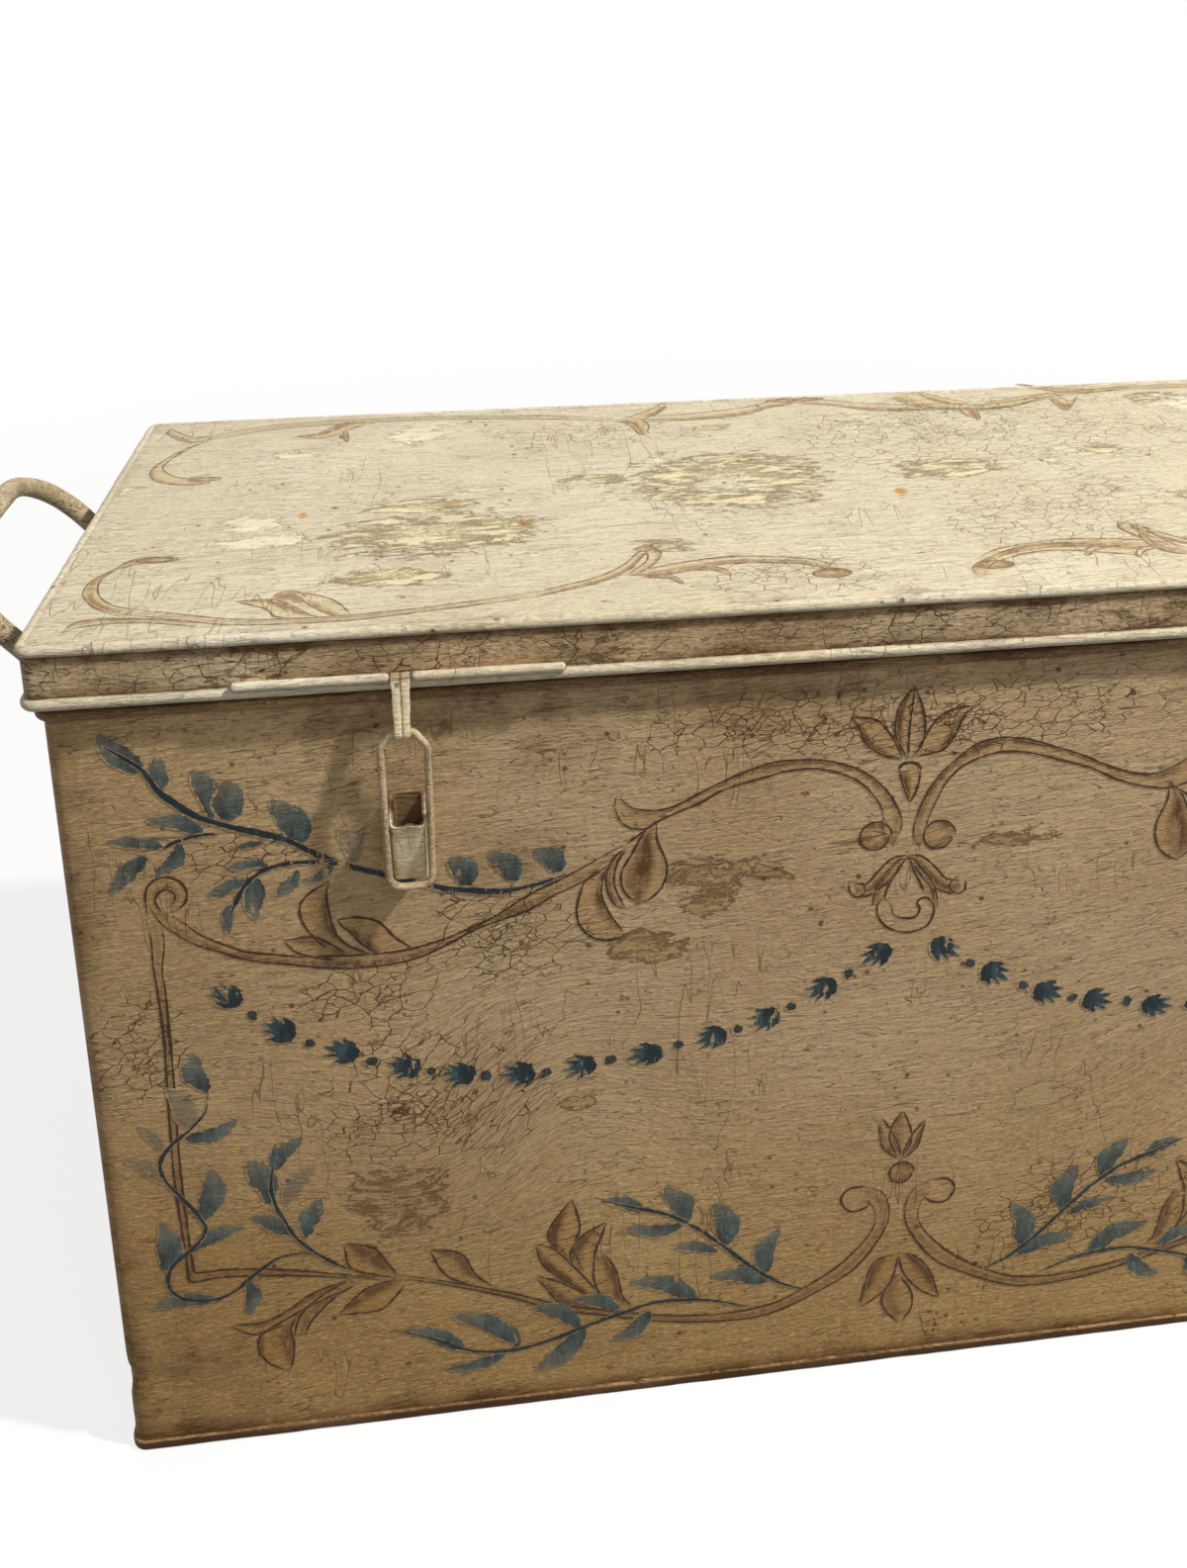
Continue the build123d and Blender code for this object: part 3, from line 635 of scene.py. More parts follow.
class Look:
    """One node material, built from a few short steps that cover its colour so far."""

    def __init__(self, name):
        self.material = bpy.data.materials.new(name)
        self.material.use_nodes = True
        self.tree = self.material.node_tree
        self.shader = self.tree.nodes["Principled BSDF"]
        self.place = self.node("TexCoord", {}).outputs["Object"]
        self.colour = None

    def node(self, kind, inputs):
        return node(self.tree, kind, inputs)

    def times(self, a, b, clamp=False):
        return math_node(self.tree, "MULTIPLY", a, b, clamp)

    def plus(self, a, b):
        return math_node(self.tree, "ADD", a, b)

    def minus(self, a, b):
        return math_node(self.tree, "SUBTRACT", a, b)

    def most(self, a, *others):
        for b in others:
            a = math_node(self.tree, "MAXIMUM", a, b)
        return a

    def from_half(self, value):
        return math_node(self.tree, "ABSOLUTE", self.minus(value, 0.5))

    def mix(self, share, a, b, blend="MIX"):
        made = self.tree.nodes.new("ShaderNodeMix")
        made.data_type, made.blend_type, made.clamp_factor = "RGBA", blend, True
        return fill(self.tree, made, {"Factor": share, MIX_A: a, MIX_B: b}).outputs[MIX_RESULT]

    def cover(self, share, tone, blend="MIX"):
        self.colour = self.mix(share, self.colour, tone, blend)

    def step(self, value, low, high, to_low=0.0, to_high=1.0):
        return self.node("MapRange", {
            "Value": value, "From Min": low, "From Max": high, "To Min": to_low, "To Max": to_high,
        }).outputs[0]

    def stretched(self, scale, turn=(0, 0, 0), coords=None):
        return self.node("Mapping", {
            "Vector": coords or self.place, "Scale": scale, "Rotation": [math.radians(a) for a in turn],
        }).outputs[0]

    def noise(self, scale, detail=3.0, rough=0.55, coords=None, bend=0.0, out="Fac"):
        return self.node("TexNoise", {
            "Vector": coords or self.place, "Scale": scale, "Detail": detail, "Roughness": rough,
            "Distortion": bend,
        }).outputs[out]

    def cells(self, scale, coords, feature="DISTANCE_TO_EDGE"):
        made = self.tree.nodes.new("ShaderNodeTexVoronoi")
        made.feature = feature
        return fill(self.tree, made, {"Vector": coords, "Scale": scale}).outputs["Distance"]

    def warped(self, scale, amount, base):
        """A place moved about by noise, in metres."""
        made = self.tree.nodes.new("ShaderNodeVectorMath")
        made.operation = "MULTIPLY_ADD"
        moves = self.noise(scale, 2.0, out="Color")
        return fill(self.tree, made, {0: moves, 1: (amount, amount, amount), 2: base}).outputs[0]

    def grain(self):
        """Place along and across the brush marks."""
        return self.node("CombineXYZ", {0: self.read("along"), 1: self.read("across")}).outputs[0]

    def read(self, name):
        made = self.node("Attribute", {})
        made.attribute_name = name
        return made.outputs["Fac"]

    def hairlines(self, coords, scale, levels, width):
        """Thin wandering lines: the contours of a noise, long where the noise is stretched."""
        rings = math_node(self.tree, "FRACT", self.times(self.noise(scale, 2.0, 0.5, coords, 0.4), levels))
        return self.step(self.from_half(rings), width, width * 0.3)

    def finish(self, rough, height):
        bumps = self.node("Bump", {"Strength": 1.0, "Distance": BUMP_DEPTH, "Height": height})
        fill(self.tree, self.shader, {
            "Base Color": self.colour, "Roughness": rough, "Specular IOR Level": DULL_SPECULAR,
            "Normal": bumps.outputs[0],
        })
        return self.material


def aged_paint(look, main, light, flow=False, streaks=0.5, cracks=1.0, dirt_and_shade=1.0, worn=TOP_WORN,
               worn_grain=3.0, ink=DARK, soil_and_shade_tone=GRIME_AND_SHADE, marked=True):
    """Brushed, cracked and worn old paint: its roughness and height; marked places show on it."""
    times, plus, most, step, cover = look.times, look.plus, look.most, look.step, look.cover

    def marks(name):
        return look.read(name) if marked else 0.0

    base = look.grain() if flow else look.place
    brushed = look.stretched((1.0, 8.0, 8.0), coords=base)
    fine = look.noise(24, 6.0, 0.66, brushed, 0.3)
    thin = look.noise(70, 4.0, 0.62, brushed, 0.5)
    tooth = look.noise(430, 3.0, 0.6, look.stretched((1.0, 1.9, 1.9), coords=base))
    cloud = look.noise(13, 5.0, 0.62)
    patch = look.noise(52, 5.0, 0.68)
    look.colour = look.mix(step(cloud, 0.34, 0.66), main, light)
    # painted shade towards the front's foot and ends
    cover(marks("low"), LOW_SHADE, "MULTIPLY")
    cover(step(fine, 0.44, 0.74, 0.0, 0.24 * streaks), GRIME_AND_SHADE)
    cover(step(tooth, 0.5, 0.7, 0.0, 0.45 * streaks), GRIME_AND_SHADE)
    cover(step(tooth, 0.48, 0.32, 0.0, 0.6), light)

    # brush hairlines, scratches across them, and short brick-like cracks
    hair = times(look.hairlines(brushed, 19, 7.0, 0.042), step(cloud, 0.36, 0.5))
    finer = times(look.hairlines(brushed, 36, 6.0, 0.055), step(patch, 0.4, 0.54))
    finest = times(look.hairlines(brushed, 74, 5.0, 0.09), 0.45)
    hair = times(most(hair, finer, finest), step(thin, 0.34, 0.5, 0.3, 1.0))
    cover(times(hair, min(0.95, 1.1 * streaks)), ink)
    scratch = look.hairlines(look.stretched((6.0, 1.0, 1.0), (0, 0, 14), base), 15, 3.0, 0.022)
    scratch = times(scratch, step(look.noise(19, 2.0), 0.54, 0.6))
    cover(times(scratch, 0.5), ink)
    mask = plus(marks("crackle"), step(patch, 0.3, 0.7, -0.3, 0.3))
    shifted = look.warped(110, 0.0035, base)
    bricks = step(look.cells(110, look.stretched((1.0, 1.9, 1.9), (0, 0, 9), shifted)), 0.03, 0.008)
    small = step(look.cells(230, look.stretched((1.0, 1.7, 1.7), coords=shifted)), 0.06, 0.015)
    small = times(small, step(mask, 0.9, 1.0))
    crack = times(most(bricks, small), step(mask, 0.46, 0.64))
    crack = times(crack, step(tooth, 0.32, 0.46, 0.4, 1.0))
    cover(times(crack, min(0.95, 0.95 * cracks)), ink)

    # places where the top coat has gone: ragged islands with dark wandering lines
    ragged = look.noise(60, 6.0, 0.76, look.stretched((1.0, worn_grain, worn_grain), coords=base), 0.4)
    edge = step(ragged, 0.25, 0.75, -0.8, 0.8)
    tan = plus(marks("worn_tan"), edge)
    tan_in = step(tan, 0.6, 0.66)
    veins = step(look.from_half(ragged), 0.026, 0.008)
    rim = times(step(tan, 0.5, 0.58), step(tan, 0.76, 0.66))
    lines = most(rim, times(times(veins, tan_in), step(thin, 0.35, 0.5)))
    cover(times(tan_in, 0.85), worn[0])
    cover(times(lines, 0.66), worn[1])
    gone = plus(marks("worn_pale"), edge)
    gone_in = step(gone, 0.6, 0.64)
    gone_rim = times(step(gone, 0.54, 0.58), step(gone, 0.68, 0.62))
    cover(gone_in, worn[2])
    cover(times(gone_rim, 0.75), worn[1])

    # dirt and painted shade, pits and rust
    soil_and_shade = plus(look.read("grime_and_shade"), step(patch, 0.3, 0.7, -0.28, 0.28))
    cover(step(soil_and_shade, 0.12, 1.05, 0.0, 0.9 * dirt_and_shade), soil_and_shade_tone)
    crust = times(step(soil_and_shade, 0.45, 0.85), step(thin, 0.44, 0.56))
    cover(times(crust, 0.55), DARK)
    pits = times(step(look.cells(150, look.place, "F1"), 0.2, 0.1), step(patch, 0.54, 0.6))
    cover(times(pits, 0.8), DARK)
    rusty = plus(marks("rust"), step(patch, 0.3, 0.7, -0.3, 0.3))
    cover(step(rusty, 0.5, 0.8, 0.0, 0.9), RUST)

    height = times(fine, 0.5)
    for layer, share in ((thin, 0.35), (patch, 0.7), (tooth, 0.4)):
        height = plus(height, times(layer, share))
    cuts = most(most(crack, lines), times(most(hair, scratch), 0.7))
    height = look.minus(height, times(cuts, 0.4))
    height = look.minus(height, times(most(tan_in, gone_in), 0.25))
    dull = plus(times(patch, 0.5), times(soil_and_shade, 0.4))
    return step(dull, 0.0, 0.9, 0.38, 0.76), height


def painted(name, main, light, **how):
    look = Look(name)
    return look.finish(*aged_paint(look, main, light, **how))


FRONT_HOW = {"flow": True, "streaks": 0.62, "worn": FRONT_WORN_SHADED, "worn_grain": 1.8}
TOP_HOW = {"flow": True, "streaks": 0.48, "dirt_and_shade": 0.9, "cracks": 0.75, "ink": TOP_INK}
SKIRT_HOW = {"flow": True, "streaks": 1.2, "cracks": 1.1, "worn": FRONT_WORN_SHADED}
SEAM_HOW = {"flow": True, "streaks": 1.0, "dirt_and_shade": 1.05, "worn": FRONT_WORN_SHADED, "soil_and_shade_tone": SEAM_SOIL_AND_SHADE}
front_paint = painted("front_paint", FRONT_SHADED_TAN, FRONT_SHADED_PALE, **FRONT_HOW)
top_paint = painted("top_paint", LID_CREAM, LID_LIGHT, **TOP_HOW)
skirt_paint = painted("skirt_paint", SKIRT_SHADED_TAN, SKIRT_SHADED_PALE, **SKIRT_HOW)
seam_paint = painted("seam_paint", SEAM_TAN, SEAM_LIGHT, **SEAM_HOW)
edge_paint = painted("edge_paint", EDGE_CREAM, EDGE_LIGHT, streaks=0.4, cracks=0.5)
ring_paint = painted("ring_paint", RING_TAN, RING_LIGHT, streaks=0.6, cracks=0.5)
metal_paint = painted("metal_paint", METAL_CREAM, METAL_LIGHT, streaks=0.4, cracks=0.4)
handle_paint = painted("handle_paint", HANDLE_TAN, HANDLE_LIGHT, streaks=0.8, cracks=0.6)
inside_paint = painted("inside_paint", INSIDE, INSIDE_LIGHT, streaks=0.5, marked=False)


def bare_metal(name):
    look = Look(name)
    stain = look.noise(90, 5.0, 0.7)
    look.colour = look.mix(look.step(stain, 0.45, 0.62), WIRE_GREY, RUST)
    look.shader.inputs["Metallic"].default_value = 0.7
    return look.finish(look.step(stain, 0.3, 0.7, 0.35, 0.75), stain)


bare_wire = bare_metal("bare_wire")


def pigment(name, base, layer, *tones):
    """Ornament paint: layer() gives its colour and how much of it is left, over the panel's own paint."""
    look = Look(name)
    main, light, how = base
    rough, height = aged_paint(look, main, light, **how)
    top, share = layer(look, *tones)
    look.cover(share, top)
    return look.finish(rough, height)


def paint_left(look, feather, wear, ragged=0.2):
    """Paint left inside a stroke: its rim is soft and uneven, and it is rubbed away in streaks."""
    rim = look.plus(look.read("from_edge"), look.step(look.noise(360, 3.0), 0.3, 0.7, -ragged, ragged * 0.4))
    rub = look.noise(95, 6.0, 0.74, look.stretched((2.6, 1.0, 1.0), (0, 62, 0)), 0.5)
    limit = look.step(look.noise(21, 3.0), 0.35, 0.65, 0.78, 0.6)
    left = look.step(look.minus(limit, look.times(rub, wear)), 0.0, 0.06)
    return look.times(look.times(look.step(rim, 0.0, feather), left), look.read("strength"))


def blue_layer(look, ragged):
    streak = look.noise(130, 5.0, 0.7, look.stretched((2.2, 1.0, 0.8), (0, 30, 0)))
    tone = look.plus(look.times(look.read("shade"), 0.75), look.step(streak, 0.32, 0.68, -0.4, 0.4))
    paint = look.mix(look.step(tone, 0.05, 0.5), BLUE_DARK, BLUE)
    paint = look.mix(look.step(tone, 0.5, 1.0), paint, BLUE_LIGHT)
    return paint, paint_left(look, 0.3, 1.02, ragged)


def line_layer(look, tone):
    return tone, paint_left(look, 0.16, 0.8)


def wash_layer(look, tint, dark):
    hatch = look.noise(300, 3.0, 0.6, look.stretched((1.0, 0.35, 0.35), (0, 25, 0)))
    shade = look.times(look.read("shade"), look.step(hatch, 0.35, 0.6, 0.45, 1.25), clamp=True)
    over = look.mix(1.0, look.colour, tint, "MULTIPLY")
    over = look.mix(look.step(shade, 0.05, 0.85, 0.0, 0.95), over, dark)
    return over, paint_left(look, 0.3, 0.7)


FRONT_BASE = (FRONT_SHADED_TAN, FRONT_SHADED_PALE, FRONT_HOW)
TOP_BASE = (LID_CREAM, LID_LIGHT, TOP_HOW)
ORNAMENT_LOOKS = {
    (FRONT, "blue"): pigment("front_blue", FRONT_BASE, blue_layer, 0.9),
    (FRONT, "stem"): pigment("front_stem", FRONT_BASE, blue_layer, 0.3),
    (FRONT, "line"): pigment("front_line", FRONT_BASE, line_layer, FRONT_LINE),
    (FRONT, "wash"): pigment("front_wash", FRONT_BASE, wash_layer, FRONT_WASH, FRONT_WASH_DARK),
    (TOP, "line"): pigment("top_line", TOP_BASE, line_layer, TOP_LINE),
    (TOP, "wash"): pigment("top_wash", TOP_BASE, wash_layer, TOP_WASH, TOP_WASH_DARK),
}


# ---------------------------------------------------------------- sheets of the trunk
def sheet(name, run, rows, relief, surface, paint, body, slot, node_name):
    """Upright sheet along a plan run; rows says its lowest and highest place and how many there are."""
    outside, normals = upright(*run, np.linspace(*rows), relief)
    settle(plate(name, outside, normals, surface, paint), body, slot, node_name)


FRONT_ROWS, BACK_ROWS = (FLOOR_SEAM, LIP_TOP, 84), (FLOOR_SEAM, LIP_TOP, 50)
SKIRT_ROWS = (SKIRT_LOW, SKIRT_HIGH, 7)
FRONT_STEP, BACK_STEP, SKIRT_STEP = 4.0, 8.0, 5.0
TOP_COLUMNS, TOP_ROWS = 130, 56
END_COLUMNS, SKIRT_END_COLUMNS = 30, 24
HANDLE_FLAT = 40                     # how far above and below its handle an end is flatter

sheet("painted_front", lapped_plan(BODY_X, BODY_Y, -1, FRONT_STEP), FRONT_ROWS,
      lambda x, y, z: front_relief(x, z), FRONT, front_paint, "trunk_body", "body_paint", "body_front")
sheet("painted_back", lapped_plan(BODY_X, BODY_Y, 1, BACK_STEP), BACK_ROWS,
      lambda x, y, z: plain_relief(x, z, BODY_X), BACK, front_paint, "trunk_body", "body_paint", "body_back")
for side_name, side in SIDES.items():
    sheet(f"painted_end_{side_name}", end_plan(BODY_X, BODY_Y, END_COLUMNS, side), BACK_ROWS,
          lambda x, y, z: plain_relief(y, z, BODY_Y) * fade(np.abs(z - HANDLE_Z), HANDLE_FLAT),
          END, front_paint, "trunk_body", "body_paint", f"body_end_{side_name}")

grid_x, grid_y = np.meshgrid(np.linspace(-TOP_HALF[0], TOP_HALF[0], TOP_COLUMNS),
                             np.linspace(-TOP_HALF[1], TOP_HALF[1], TOP_ROWS))
outside = np.stack([grid_x, grid_y, TOP_FACE + top_relief(grid_x, grid_y)], 2)
normals = np.zeros_like(outside)
normals[:, :, 2] = 1
settle(plate("painted_top", outside, normals, TOP, top_paint), "lid", "lid_top_paint", "lid_top")

for name, facing in (("front", -1), ("back", 1)):
    sheet(f"painted_skirt_{name}", lapped_plan(LID_X, LID_Y, facing, SKIRT_STEP), SKIRT_ROWS,
          lambda x, y, z: SKIRT_WAVE * ripple(x, z * 3, 12, 90) * fade(LID_X - np.abs(x), 20) - SKIRT_WAVE,
          SKIRT, skirt_paint, "lid", "skirt_paint", f"lid_skirt_{name}")
for side_name, side in SIDES.items():
    sheet(f"painted_skirt_{side_name}", end_plan(LID_X, LID_Y, SKIRT_END_COLUMNS, side), SKIRT_ROWS,
          lambda x, y, z: 0 * x, SKIRT, skirt_paint, "lid", "skirt_paint", f"lid_skirt_{side_name}")

# ---------------------------------------------------------------- beads and seams
LID_BEAD_INSET = 0.85
# darker at its foot and head than on its face: dirt and painted shade
RIM_DIRT_AND_SHADE = [0.9, 0.75, 0.5, 0.35, 0.3, 0.35, 0.5, 0.7, 0.85, 0.9, 0.9]
BASE_PROFILE = [
    (0, 0), (0.5, 0), (1.0, 0.3), (BASE_SEAM_OUT, 0.9), (BASE_SEAM_OUT, 2.2), (BASE_SEAM_OUT, 3.4),
    (0.95, 4.0), (0.4, BASE_SEAM_HIGH), (0, BASE_SEAM_HIGH),
]
# dark up its face: dirt and painted shade; the low values at its rounded top are a painted highlight along
# the fold
BASE_DIRT_SHADE_AND_HIGHLIGHT = [1.2, 1.2, 1.2, 1.2, 1.1, 0.9, 0.1, 0.3, 1.0]

lid_run = loop(LID_X, LID_Y, LID_BEAD_INSET)
# the beads are darker underneath and where they meet the sheets: dirt and painted shade
bead = moulding("top_seam_bead", lid_run, circle(*TOP_SEAM), grimy_and_shaded(-75, 180), edge_paint, seed=40)
settle(bead, "lid", "edge_paint", "lid_top_seam")
bead = moulding("rolled_edge_bead", lid_run, circle(*ROLL), grimy_and_shaded(-100, 95), edge_paint, seed=50, wobble=0.05)
settle(bead, "lid", "edge_paint", "lid_rolled_edge")
body_run = loop(BODY_X, BODY_Y)
rim_turns = [math.radians(a) for a in range(-90, 91, 18)]
half_round = [(RIM_BEAD[1] * math.cos(a), RIM_BEAD[0] + RIM_BEAD[1] * math.sin(a)) for a in rim_turns]
bead = moulding("rim_bead_cover", body_run, half_round, RIM_DIRT_AND_SHADE, seam_paint, seed=60)
settle(bead, "trunk_body", "edge_paint", "rim_bead")
bead = moulding("base_seam_cover", body_run, BASE_PROFILE, BASE_DIRT_SHADE_AND_HIGHLIGHT, seam_paint, seed=70, wobble=0.15)
settle(bead, "trunk_body", "base_seam_paint", "base_seam")

# ---------------------------------------------------------------- hasps
KNUCKLE_TURN, EYE_TURN = 190, 230    # how far the strip goes round its pin and its ring (degrees)
KNUCKLE_STEPS, FLAT_STEPS, EYE_STEPS = 8, 14, 10
SEAM_DEPTH, SEAM_WIDTH = 0.55, 0.13  # of the strip's half thickness and half width
CREASE_DIRT = 0.9
STRAP_WAVE = 0.06


def strap_path():
    """Middle line of the folded strip, in (y, z), with its thickness and width at each place."""
    pin, eye = np.array([TUBE_Y, TUBE_Z]), np.array([RING_Y, RING_TOP])
    lean = eye - pin
    down = unit(lean)
    front = np.array([down[1], -down[0]])      # towards -Y
    sleeve = TUBE_R - PIN_R
    knuckle_r, eye_r = (TUBE_R + PIN_R) / 2, EYE_INNER + EYE_WALL / 2
    steps = []
    for k in range(KNUCKLE_STEPS + 1):
        turn = math.radians(KNUCKLE_TURN - KNUCKLE_TURN * k / KNUCKLE_STEPS)
        out = front * math.cos(turn) - down * math.sin(turn)
        steps.append((pin + out * (knuckle_r - KNUCKLE_SLACK / 2), out, sleeve - KNUCKLE_SLACK, 0.0))
    for k in range(1, FLAT_STEPS):
        t = k / FLAT_STEPS
        thick = sleeve + (STRAP_THICK - sleeve) * min(1, 3 * t, 3 * (1 - t) + 0.6)
        offset = knuckle_r + (eye_r - knuckle_r) * t - (thick - sleeve) * 0.3
        steps.append((pin + lean * t + front * offset, front, thick, t))
    for k in range(EYE_STEPS + 1):
        turn = math.radians(EYE_TURN * k / EYE_STEPS)
        out = front * math.cos(turn) + down * math.sin(turn)
        steps.append((eye + out * eye_r, out, EYE_WALL, 1.0))
    return steps


def strap(name, middle, paint):
    """Folded strip with a seam down its middle."""
    places, dirt_and_shade = [], []
    section = [(v, 1.0 - SEAM_DEPTH * math.exp(-(v / SEAM_WIDTH) ** 2) - 0.35 * abs(v) ** 6)
               for v in np.linspace(-1, 1, 13)]
    section += [(v, -1.0 + 0.3 * abs(v) ** 6) for v in np.linspace(1, -1, 7)]
    for i, (at, out, thick, t) in enumerate(strap_path()):
        half = (STRAP_WIDE[0] + (STRAP_WIDE[1] - STRAP_WIDE[0]) * t) / 2
        for v, w in section:
            wave = STRAP_WAVE * math.sin(i * 1.3 + v * 2) if t and w > 0 else 0.0
            spot = at + out * (thick / 2 * w + wave * 0.5)
            places.append((middle + v * half * (1 + 0.03 * math.sin(i * 0.9)), spot[0], spot[1]))
            groove = math.exp(-(v / 0.1) ** 2) if w > 0 else 0.6
            dirt_and_shade.append(max(CREASE_DIRT * groove, 0.5 if t == 0 else 0.0))
    rows, columns = len(places) // len(section), len(section)
    faces = grid_faces(rows, columns, closed=True) + end_caps(rows, columns)
    fields = paint_fields(np.array(places))
    fields["grime_and_shade"] = dirt_and_shade
    return mesh(name, places, faces, fields, (paint,), sharp=60)


STAPLE_LEVELS, STAPLE_AROUND = 13, 32
STAPLE_SQUARE = 0.28                 # the power that makes its plan nearly square
STAPLE_HEM = 0.35
STAPLE_HEM_FROM = 0.86               # share of its height where the hem starts
STAPLE_RIM_CURVE = 1.2
STAPLE_SEAM_DIRT, STAPLE_FACE_DIRT, STAPLE_FOOT_DIRT = 0.28, 0.02, 0.45
# the inside of a staple is dark with painted shade
STAPLE_SIDE_DIRT, STAPLE_INNER_SHADE = 0.8, 1.3


def staple(name, middle, paint):
    """Painted band, square in plan, cut lower in front, its front face dished and hemmed."""
    places, dirt_and_shade = [], []
    for inner in (False, True):
        for i in range(STAPLE_LEVELS):
            t = i / (STAPLE_LEVELS - 1)
            hem = 0.0 if inner else float(STAPLE_HEM * fade(np.array(t - STAPLE_HEM_FROM), 0.1))
            for j in range(STAPLE_AROUND):
                turn = 2 * math.pi * j / STAPLE_AROUND
                sx, sy = (math.copysign(abs(c) ** STAPLE_SQUARE, c) for c in (math.cos(turn), math.sin(turn)))
                forward = (1 - sy) / 2               # 0 at the panel, 1 in front
                top = STAPLE_BACK_TOP + (STAPLE_FRONT_TOP - STAPLE_BACK_TOP) * forward ** STAPLE_RIM_CURVE
                z = STAPLE_LOW + (top - STAPLE_LOW) * t
                up = (min(z, STAPLE_FRONT_TOP) - STAPLE_LOW) / (STAPLE_FRONT_TOP - STAPLE_LOW)
                out = STAPLE_OUT_LOW + (STAPLE_OUT_TOP - STAPLE_OUT_LOW) * up
                wall = STAPLE_WALL if inner else 0.0
                x = sx * (STAPLE_HALF - wall + hem)
                y = wall + (out - wall - wall) * forward
                if not inner and forward > 0.9:
                    y += hem - STAPLE_HEM * math.exp(-(x / 0.8) ** 2)
                places.append((middle + x, -BODY_Y - y, z))
                seam = STAPLE_SEAM_DIRT * math.exp(-(x / 0.7) ** 2)
                outer_dirt = max(STAPLE_FACE_DIRT + seam * forward, STAPLE_SIDE_DIRT * (1 - forward),
                                 STAPLE_FOOT_DIRT * (1 - t) ** 3)
                dirt_and_shade.append(STAPLE_INNER_SHADE if inner else outer_dirt)
    count = STAPLE_LEVELS * STAPLE_AROUND
    faces = grid_faces(STAPLE_LEVELS, STAPLE_AROUND, closed=True, flip=True)
    faces += grid_faces(STAPLE_LEVELS, STAPLE_AROUND, count, closed=True)
    for j in range(STAPLE_AROUND):
        k = (j + 1) % STAPLE_AROUND
        rim = count - STAPLE_AROUND
        faces.append((rim + j, rim + k, count + rim + k, count + rim + j))
        faces.append((k, j, count + j, count + k))
    fields = paint_fields(np.array(places))
    fields["grime_and_shade"] = dirt_and_shade
    return mesh(name, places, faces, fields, (paint,), sharp=45)


TUBE_PLACES = 40
RING_SHOULDER, RING_DROP, RING_TAPER = 3.4, 5.6, 0.5
RING_BENDS = (2.2, 3.0, 4.4)         # at the shoulders, under them, and at the foot
half, foot = RING_HALF - RING_TAPER, -RING_LENGTH
ring_right = [(RING_SHOULDER, 0), (RING_HALF, -RING_DROP), (half, foot)]
ring_left = [(-x, z) for x, z in ring_right[::-1]]
ring_shape = bent([(0, 0), *ring_right, *ring_left, (0, 0)], [*RING_BENDS, *RING_BENDS[::-1]], 1.2)[:-1]
for side_name, side in SIDES.items():
    middle = side * HASP_X
    for end_name, end in (("a", -1), ("b", 1)):
        near_end, far_end = middle + end * TUBE_SLOT / 2, middle + end * TUBE_LENGTH / 2
        line = np.array([(x, TUBE_Y, TUBE_Z) for x in np.linspace(far_end, near_end, TUBE_PLACES)])
        tube = bar(f"painted_tube_{side_name}_{end_name}", line, TUBE_R, edge_paint, seed=80 + end,
                   lumps=0.07, dirt_and_shade=0.1)
        settle(tube, "lid", "hasp_paint", f"hasp_tube_{side_name}_{end_name}")
    settle(strap(f"painted_strap_{side_name}", middle, metal_paint),
           f"strap_{side_name}", "hasp_paint", f"hasp_strap_{side_name}")
    line = np.array([(middle + x, RING_Y, RING_TOP + z) for x, z in ring_shape])
    ring = bar(f"painted_ring_{side_name}", line, RING_R, ring_paint, seed=90, lumps=0.14, dirt_and_shade=0.35,
               closed=True)
    settle(ring, f"ring_{side_name}", "hasp_paint", f"hasp_ring_{side_name}")
    settle(staple(f"painted_staple_{side_name}", middle, metal_paint),
           "trunk_body", "hasp_paint", f"staple_{side_name}")

# ---------------------------------------------------------------- handles
HANDLE_FREE = 10                     # how far from its axle a handle is lumpy
inner = HANDLE_HALF - HANDLE_END
handle_back = [(0, inner), (0, HANDLE_HALF), (HANDLE_REACH, HANDLE_HALF)]
handle_shape = bent([*handle_back, *((x, -y) for x, y in handle_back[::-1])],
                    [HANDLE_END_BEND, HANDLE_BEND, HANDLE_BEND, HANDLE_END_BEND], 2.5)
rise = math.radians(HANDLE_RAISED)


def free_of_axle(places):
    """0 on the handle's axle, 1 well away from it."""
    return fade(np.hypot(np.abs(places[:, 0]) - HANDLE_X, places[:, 2] - HANDLE_Z), HANDLE_FREE)


for side_name, side in SIDES.items():
    line = np.array([(side * (HANDLE_X + out * math.cos(rise)), y, HANDLE_Z + out * math.sin(rise))
                     for out, y in handle_shape])
    handle = bar(f"painted_handle_{side_name}", line, HANDLE_R, handle_paint, seed=100, lumps=0.06, dirt_and_shade=0.12,
                 around=20, free=free_of_axle)
    settle(handle, f"handle_{side_name}", "handle_paint", f"handle_{side_name}")

# ---------------------------------------------------------------- finish of the CAD pieces that stay
STAYS = {
    "body_bottom": inside_paint, "lid_edge_wire": bare_wire,
    "hinge_rivets_body": metal_paint, "hinge_rivets_lid": metal_paint, "staple_rivets": metal_paint,
    "handle_rivets": handle_paint,
}
for side_name in SIDES:
    for start in ("hinge_leaf_body", "hinge_leaf_lid", "hinge_pin"):
        STAYS[f"{start}_{side_name}"] = metal_paint
    STAYS[f"hasp_pin_{side_name}"] = bare_wire
    for end_name in ("front", "back"):
        STAYS[f"handle_eye_{side_name}_{end_name}"] = handle_paint
for node_name, look in STAYS.items():
    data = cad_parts[node_name].data
    data.materials.clear()
    data.materials.append(look)


# ---------------------------------------------------------------- ornament strokes
STROKE_STEP = 1.2
CURVE_STEPS, STRAIGHT_STEPS = 12, 20


